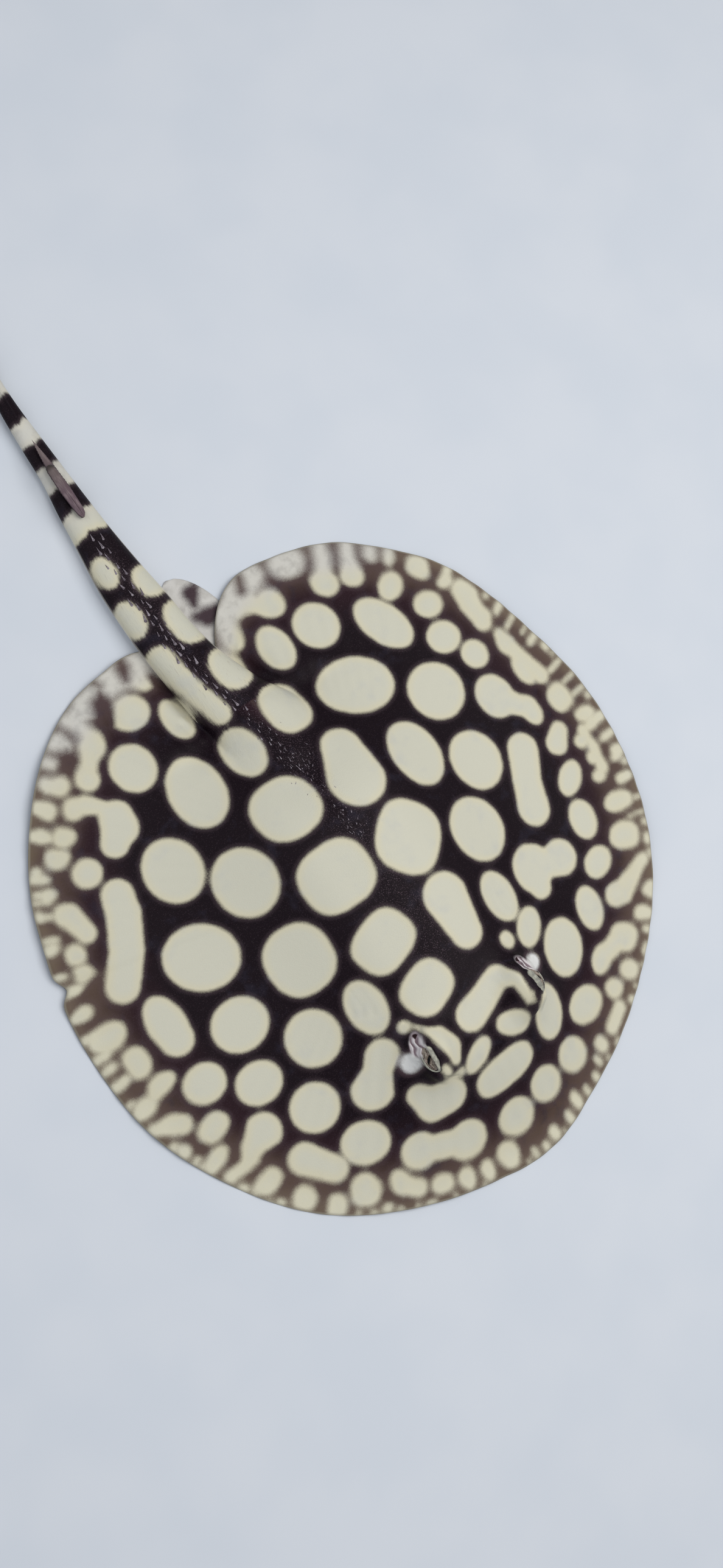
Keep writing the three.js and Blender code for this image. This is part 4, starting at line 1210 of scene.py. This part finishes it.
def skin_finish():
    """Black to maroon ground with cream spots, a brown web at the rim and a white belly."""
    skin = Finish("ray_skin", Specular_IOR_Level=0.1)
    spot, depth, belly = skin.measure("spot"), skin.measure("depth"), skin.measure("belly")
    lid, opening, stipple = skin.measure("lid"), skin.measure("opening"), skin.measure("stipple")
    tail, ashen, pleat = skin.measure("tail"), skin.measure("ashen"), skin.measure("pleat")
    fine, grain, patch, cloud = skin.noise(0.6, 3), skin.noise(2.2, 3), skin.noise(6), skin.noise(24)
    streak = skin.noise(1.2, 3, stretch=(1, 0.16, 1))

    edge = spot + fine + patch * 0.8 + streak * tail * 2.2
    pale, fringe = edge.step(-0.5, 2.2), edge.step(-2.4, -0.2)
    margin, web = depth.step(16, 2), depth + cloud * 14
    mottled = (patch * 1.4 + grain * 0.3).step(-0.1, 0.4) * ashen.step(0.3, 0.8)
    ground = skin.layers(
        paint(110, 96, 80),
        (paint(86, 70, 61), web.step(0, 10)),
        (paint(42, 25, 31), web.step(9, 31)),
        (paint(20, 10, 17), web.step(26, 54)),
        (paint(42, 40, 54), (cloud + patch).step(0.05, 0.4) * 0.35 * (1 - margin)),
        (paint(104, 88, 96), fine.step(0.03, 0.2) * (0.1 + stipple * 0.36)),
        (paint(104, 88, 94), fringe * 0.16),
        (paint(74, 58, 64), ashen * (1 - tail) * 0.6),
    )
    cream = skin.layers(
        paint(207, 201, 176),
        (paint(202, 200, 184), edge.step(1.0, 6.0)),
        (paint(188, 189, 184), (cloud + patch * 0.5).step(0.02, 0.36) * 0.45),
        (paint(211, 207, 186), margin * 0.6),
        (paint(156, 142, 124), (streak * tail).step(0.08, 0.3) * 0.35),
        (paint(202, 200, 199), ashen * 0.85),
        (paint(222, 222, 220), ashen.step(1.0, 1.5)),
        (paint(156, 152, 146), mottled * 0.5),
    )
    lid_skin = skin.blend(paint(146, 145, 136), paint(180, 180, 166), grain.step(-0.1, 0.15))
    # The spiracles: mauve skin with painted highlight on the crests of their folds and painted shade in
    # their deep rear ends.
    folds = pleat + grain * 1.2 + patch
    mauve = skin.layers(
        paint(132, 114, 122),
        (paint(214, 208, 210), folds.step(-0.8, 0.7)),
        (paint(40, 24, 26), (pleat + grain * 0.4).step(-1.0, -1.7)),
    )
    under = skin.layers(
        paint(58, 52, 54),
        (paint(226, 220, 211), (depth + patch * 10).step(9, 24)),
        (paint(120, 96, 92), opening.step(1.6, 0.6)),
    )
    colour = skin.layers(
        ground,
        (cream, pale),
        (paint(172, 166, 148), depth.step(1.5, 0.2) * 0.5),
        (lid_skin, lid.step(3.1, 2.5) * 0.95),
        (paint(40, 32, 36), (lid + grain * 0.5).near(3.1, 0.9) * 0.7),
        (paint(96, 90, 80), (lid + fine * 0.4).near(0.9, 0.25) * 0.4),
        # Painted shade: the edge of each eye's opening and the skin down between lid and eyeball are
        # painted near black.
        (paint(30, 24, 26), lid.step(0.35, -0.1)),
        (mauve, (opening + patch * 0.5).step(1.3, 0.75) * (1 - belly)),
        (under, belly),
    )
    relief = fine * 0.5 + grain * 0.4 + (fine * stipple) * 1.2 + streak * tail * 0.8
    return skin.wear(Base_Color=colour, Roughness=0.5 + grain * 0.16, Normal=skin.bump(relief, 0.14))


def eye_finish():
    """A wet grey-brown iris with dark scrolls, each edged by a painted highlight, and a black slit."""
    eye = Finish("ray_eye", Coat_Weight=0.12, Coat_Roughness=0.08, Specular_IOR_Level=0.15)
    scroll, slit = eye.measure("scroll"), eye.measure("slit")
    fine, grain = eye.noise(0.4, 3), eye.noise(1.6)
    colour = eye.layers(
        paint(122, 110, 100),
        (paint(178, 162, 154), (grain + fine * 0.6).step(-0.14, 0.22)),
        # Painted highlight on the raised rims beside the scrolls.
        (paint(148, 148, 128), scroll.near(0.5, 0.35) * 0.4),
        (paint(70, 60, 50), (scroll + fine * 0.3).step(0.28, 0.0) * 0.55),
        (paint(96, 80, 66), slit.step(0.9, 0.15) * 0.6),
        (paint(8, 7, 8), (slit + fine * 0.1).step(0.08, -0.08)),
    )
    return eye.wear(Base_Color=colour, Roughness=0.2 + grain * 0.08, Normal=eye.bump(grain + fine, 0.06))


def bone_finish():
    """Mauve-brown bone, darker along the barbs, with painted shade down the groove in its middle and at
    the blunt end.
    """
    bone = Finish("sting_bone", Specular_IOR_Level=0.3)
    across, way, worn = bone.measure("across"), bone.measure("along"), bone.measure("worn")
    fine = bone.noise(0.5, 3, stretch=(1, 0.15, 1))
    grain = bone.noise(2.4, stretch=(1, 0.3, 1))
    colour = bone.layers(
        paint(92, 74, 82),
        (paint(124, 108, 112), (grain + fine * 0.5).step(-0.12, 0.2)),
        (paint(104, 96, 88), way.step(0.4, 0.9) * 0.5),
        (paint(48, 30, 38), (across + fine * 0.1).step(0.82, 0.98) * 0.85),
        # Painted shade down the groove in the middle of the blade, as far as the groove runs.
        (paint(56, 38, 46), across.step(0.12, 0.02) * way.step(0.55, 0.3) * 0.8),
        # Painted shade at the upper sting's blunt end.
        (paint(44, 36, 32), worn * 0.85),
    )
    return bone.wear(Base_Color=colour, Roughness=0.44 + fine * 0.2, Normal=bone.bump(fine, 0.08))


def thorn_finish():
    """Pale horn, a little darker at random."""
    horn = Finish("thorn_horn", Specular_IOR_Level=0.2)
    fine, grain = horn.noise(0.4), horn.noise(3.0)
    colour = horn.blend(paint(84, 74, 82), paint(146, 138, 146), (grain + fine).step(-0.15, 0.2))
    return horn.wear(Base_Color=colour, Roughness=0.5 + fine * 0.2, Normal=horn.bump(fine, 0.04))


def floor_finish():
    floor = Finish("pale_floor", Specular_IOR_Level=0.2)
    colour = floor.blend(paint(205, 211, 220), paint(209, 214, 222), floor.noise(60).step(-0.2, 0.2))
    return floor.wear(Base_Color=colour, Roughness=0.75 + floor.noise(8) * 0.05)


def dress(piece, finish):
    """Gives a piece its finish and its place on the body."""
    piece.data.materials.clear()
    piece.data.materials.append(finish)
    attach(piece, "root")


# ---- the scene -----------------------------------------------------------------------------
CAMERA = {"tilt": 17.0, "turn": 55.5, "distance": 0.909, "aim": (-0.0309, -0.0407, 0.0), "lens": 39.3}


def add_camera():
    """Looks down from the animal's right side, turned so that the tail leads up and to the left."""
    tilt, turn = CAMERA["tilt"] * DEG, CAMERA["turn"] * DEG
    away = Vector((math.sin(tilt), 0, math.cos(tilt)))
    ahead = Vector((0, 1, 0))
    side = ahead.cross(away)
    right = math.cos(turn) * ahead - math.sin(turn) * side
    up = -math.sin(turn) * ahead - math.cos(turn) * side
    bpy.ops.object.camera_add()
    camera = bpy.context.active_object
    place = Vector(CAMERA["aim"]) + CAMERA["distance"] * away
    camera.matrix_world = Matrix.Translation(place) @ Matrix((right, up, away)).transposed().to_4x4()
    camera.data.lens = CAMERA["lens"]
    camera.data.sensor_width = 36
    bpy.context.scene.camera = camera


LIGHTS = (
    {"place": (-0.45, 0.15, 1.25), "size": 1.1, "power": 13.0, "colour": (1.0, 0.99, 0.96)},
    {"place": (0.9, -0.6, 1.1), "size": 1.6, "power": 5.6, "colour": (0.93, 0.96, 1.0)},
)


def add_light(place, size, power, colour):
    """A soft square light that faces the middle of the floor."""
    bpy.ops.object.light_add(type="AREA", location=place)
    light = bpy.context.active_object
    light.rotation_euler = Vector(place).to_track_quat("Z", "Y").to_euler()
    light.data.size = size
    light.data.energy = power
    light.data.color = colour


def add_room():
    bpy.ops.object.select_all(action="DESELECT")
    bpy.ops.mesh.primitive_plane_add(size=6, location=(0, 0, -0.00005))
    floor = new_piece("floor")
    bpy.ops.object.transform_apply(location=True)
    floor.data.materials.append(floor_finish())
    for light in LIGHTS:
        add_light(**light)
    world = bpy.data.worlds.new("soft_room")
    world.use_nodes = True
    backdrop = world.node_tree.nodes["Background"]
    backdrop.inputs["Color"].default_value = (0.92, 0.95, 1.0, 1.0)
    backdrop.inputs["Strength"].default_value = 0.35
    bpy.context.scene.world = world
    bpy.context.scene.view_settings.view_transform = "Standard"


SKIN_NODES = (
    "head", "trunk", "wing_right", "wing_left", "pelvic_fin_right", "pelvic_fin_left",
    "tail_root", "tail_middle", "tail_tip", "tail_fold_upper", "tail_fold_lower",
)


def build_ray():
    skin = join_skin()
    mark(skin)
    dress(skin, skin_finish())
    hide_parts(*SKIN_NODES)
    eye = eye_finish()
    for place in EYES:
        ball = eyeball(place)
        dress(ball, eye)
        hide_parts("eye_right" if place.side > 0 else "eye_left")
    bone = bone_finish()
    for form in STINGS:
        blade = sting(form)
        dress(blade, bone)
        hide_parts(form["node"])
    thorn = thorn_shape()
    horn = thorn_finish()
    for name, places in (("tail_thorns", thorn_places()), ("back_prickles", prickle_places())):
        dress(plant(name, thorn, places), horn)
    bpy.data.objects.remove(thorn)


build_ray()
add_room()
add_camera()
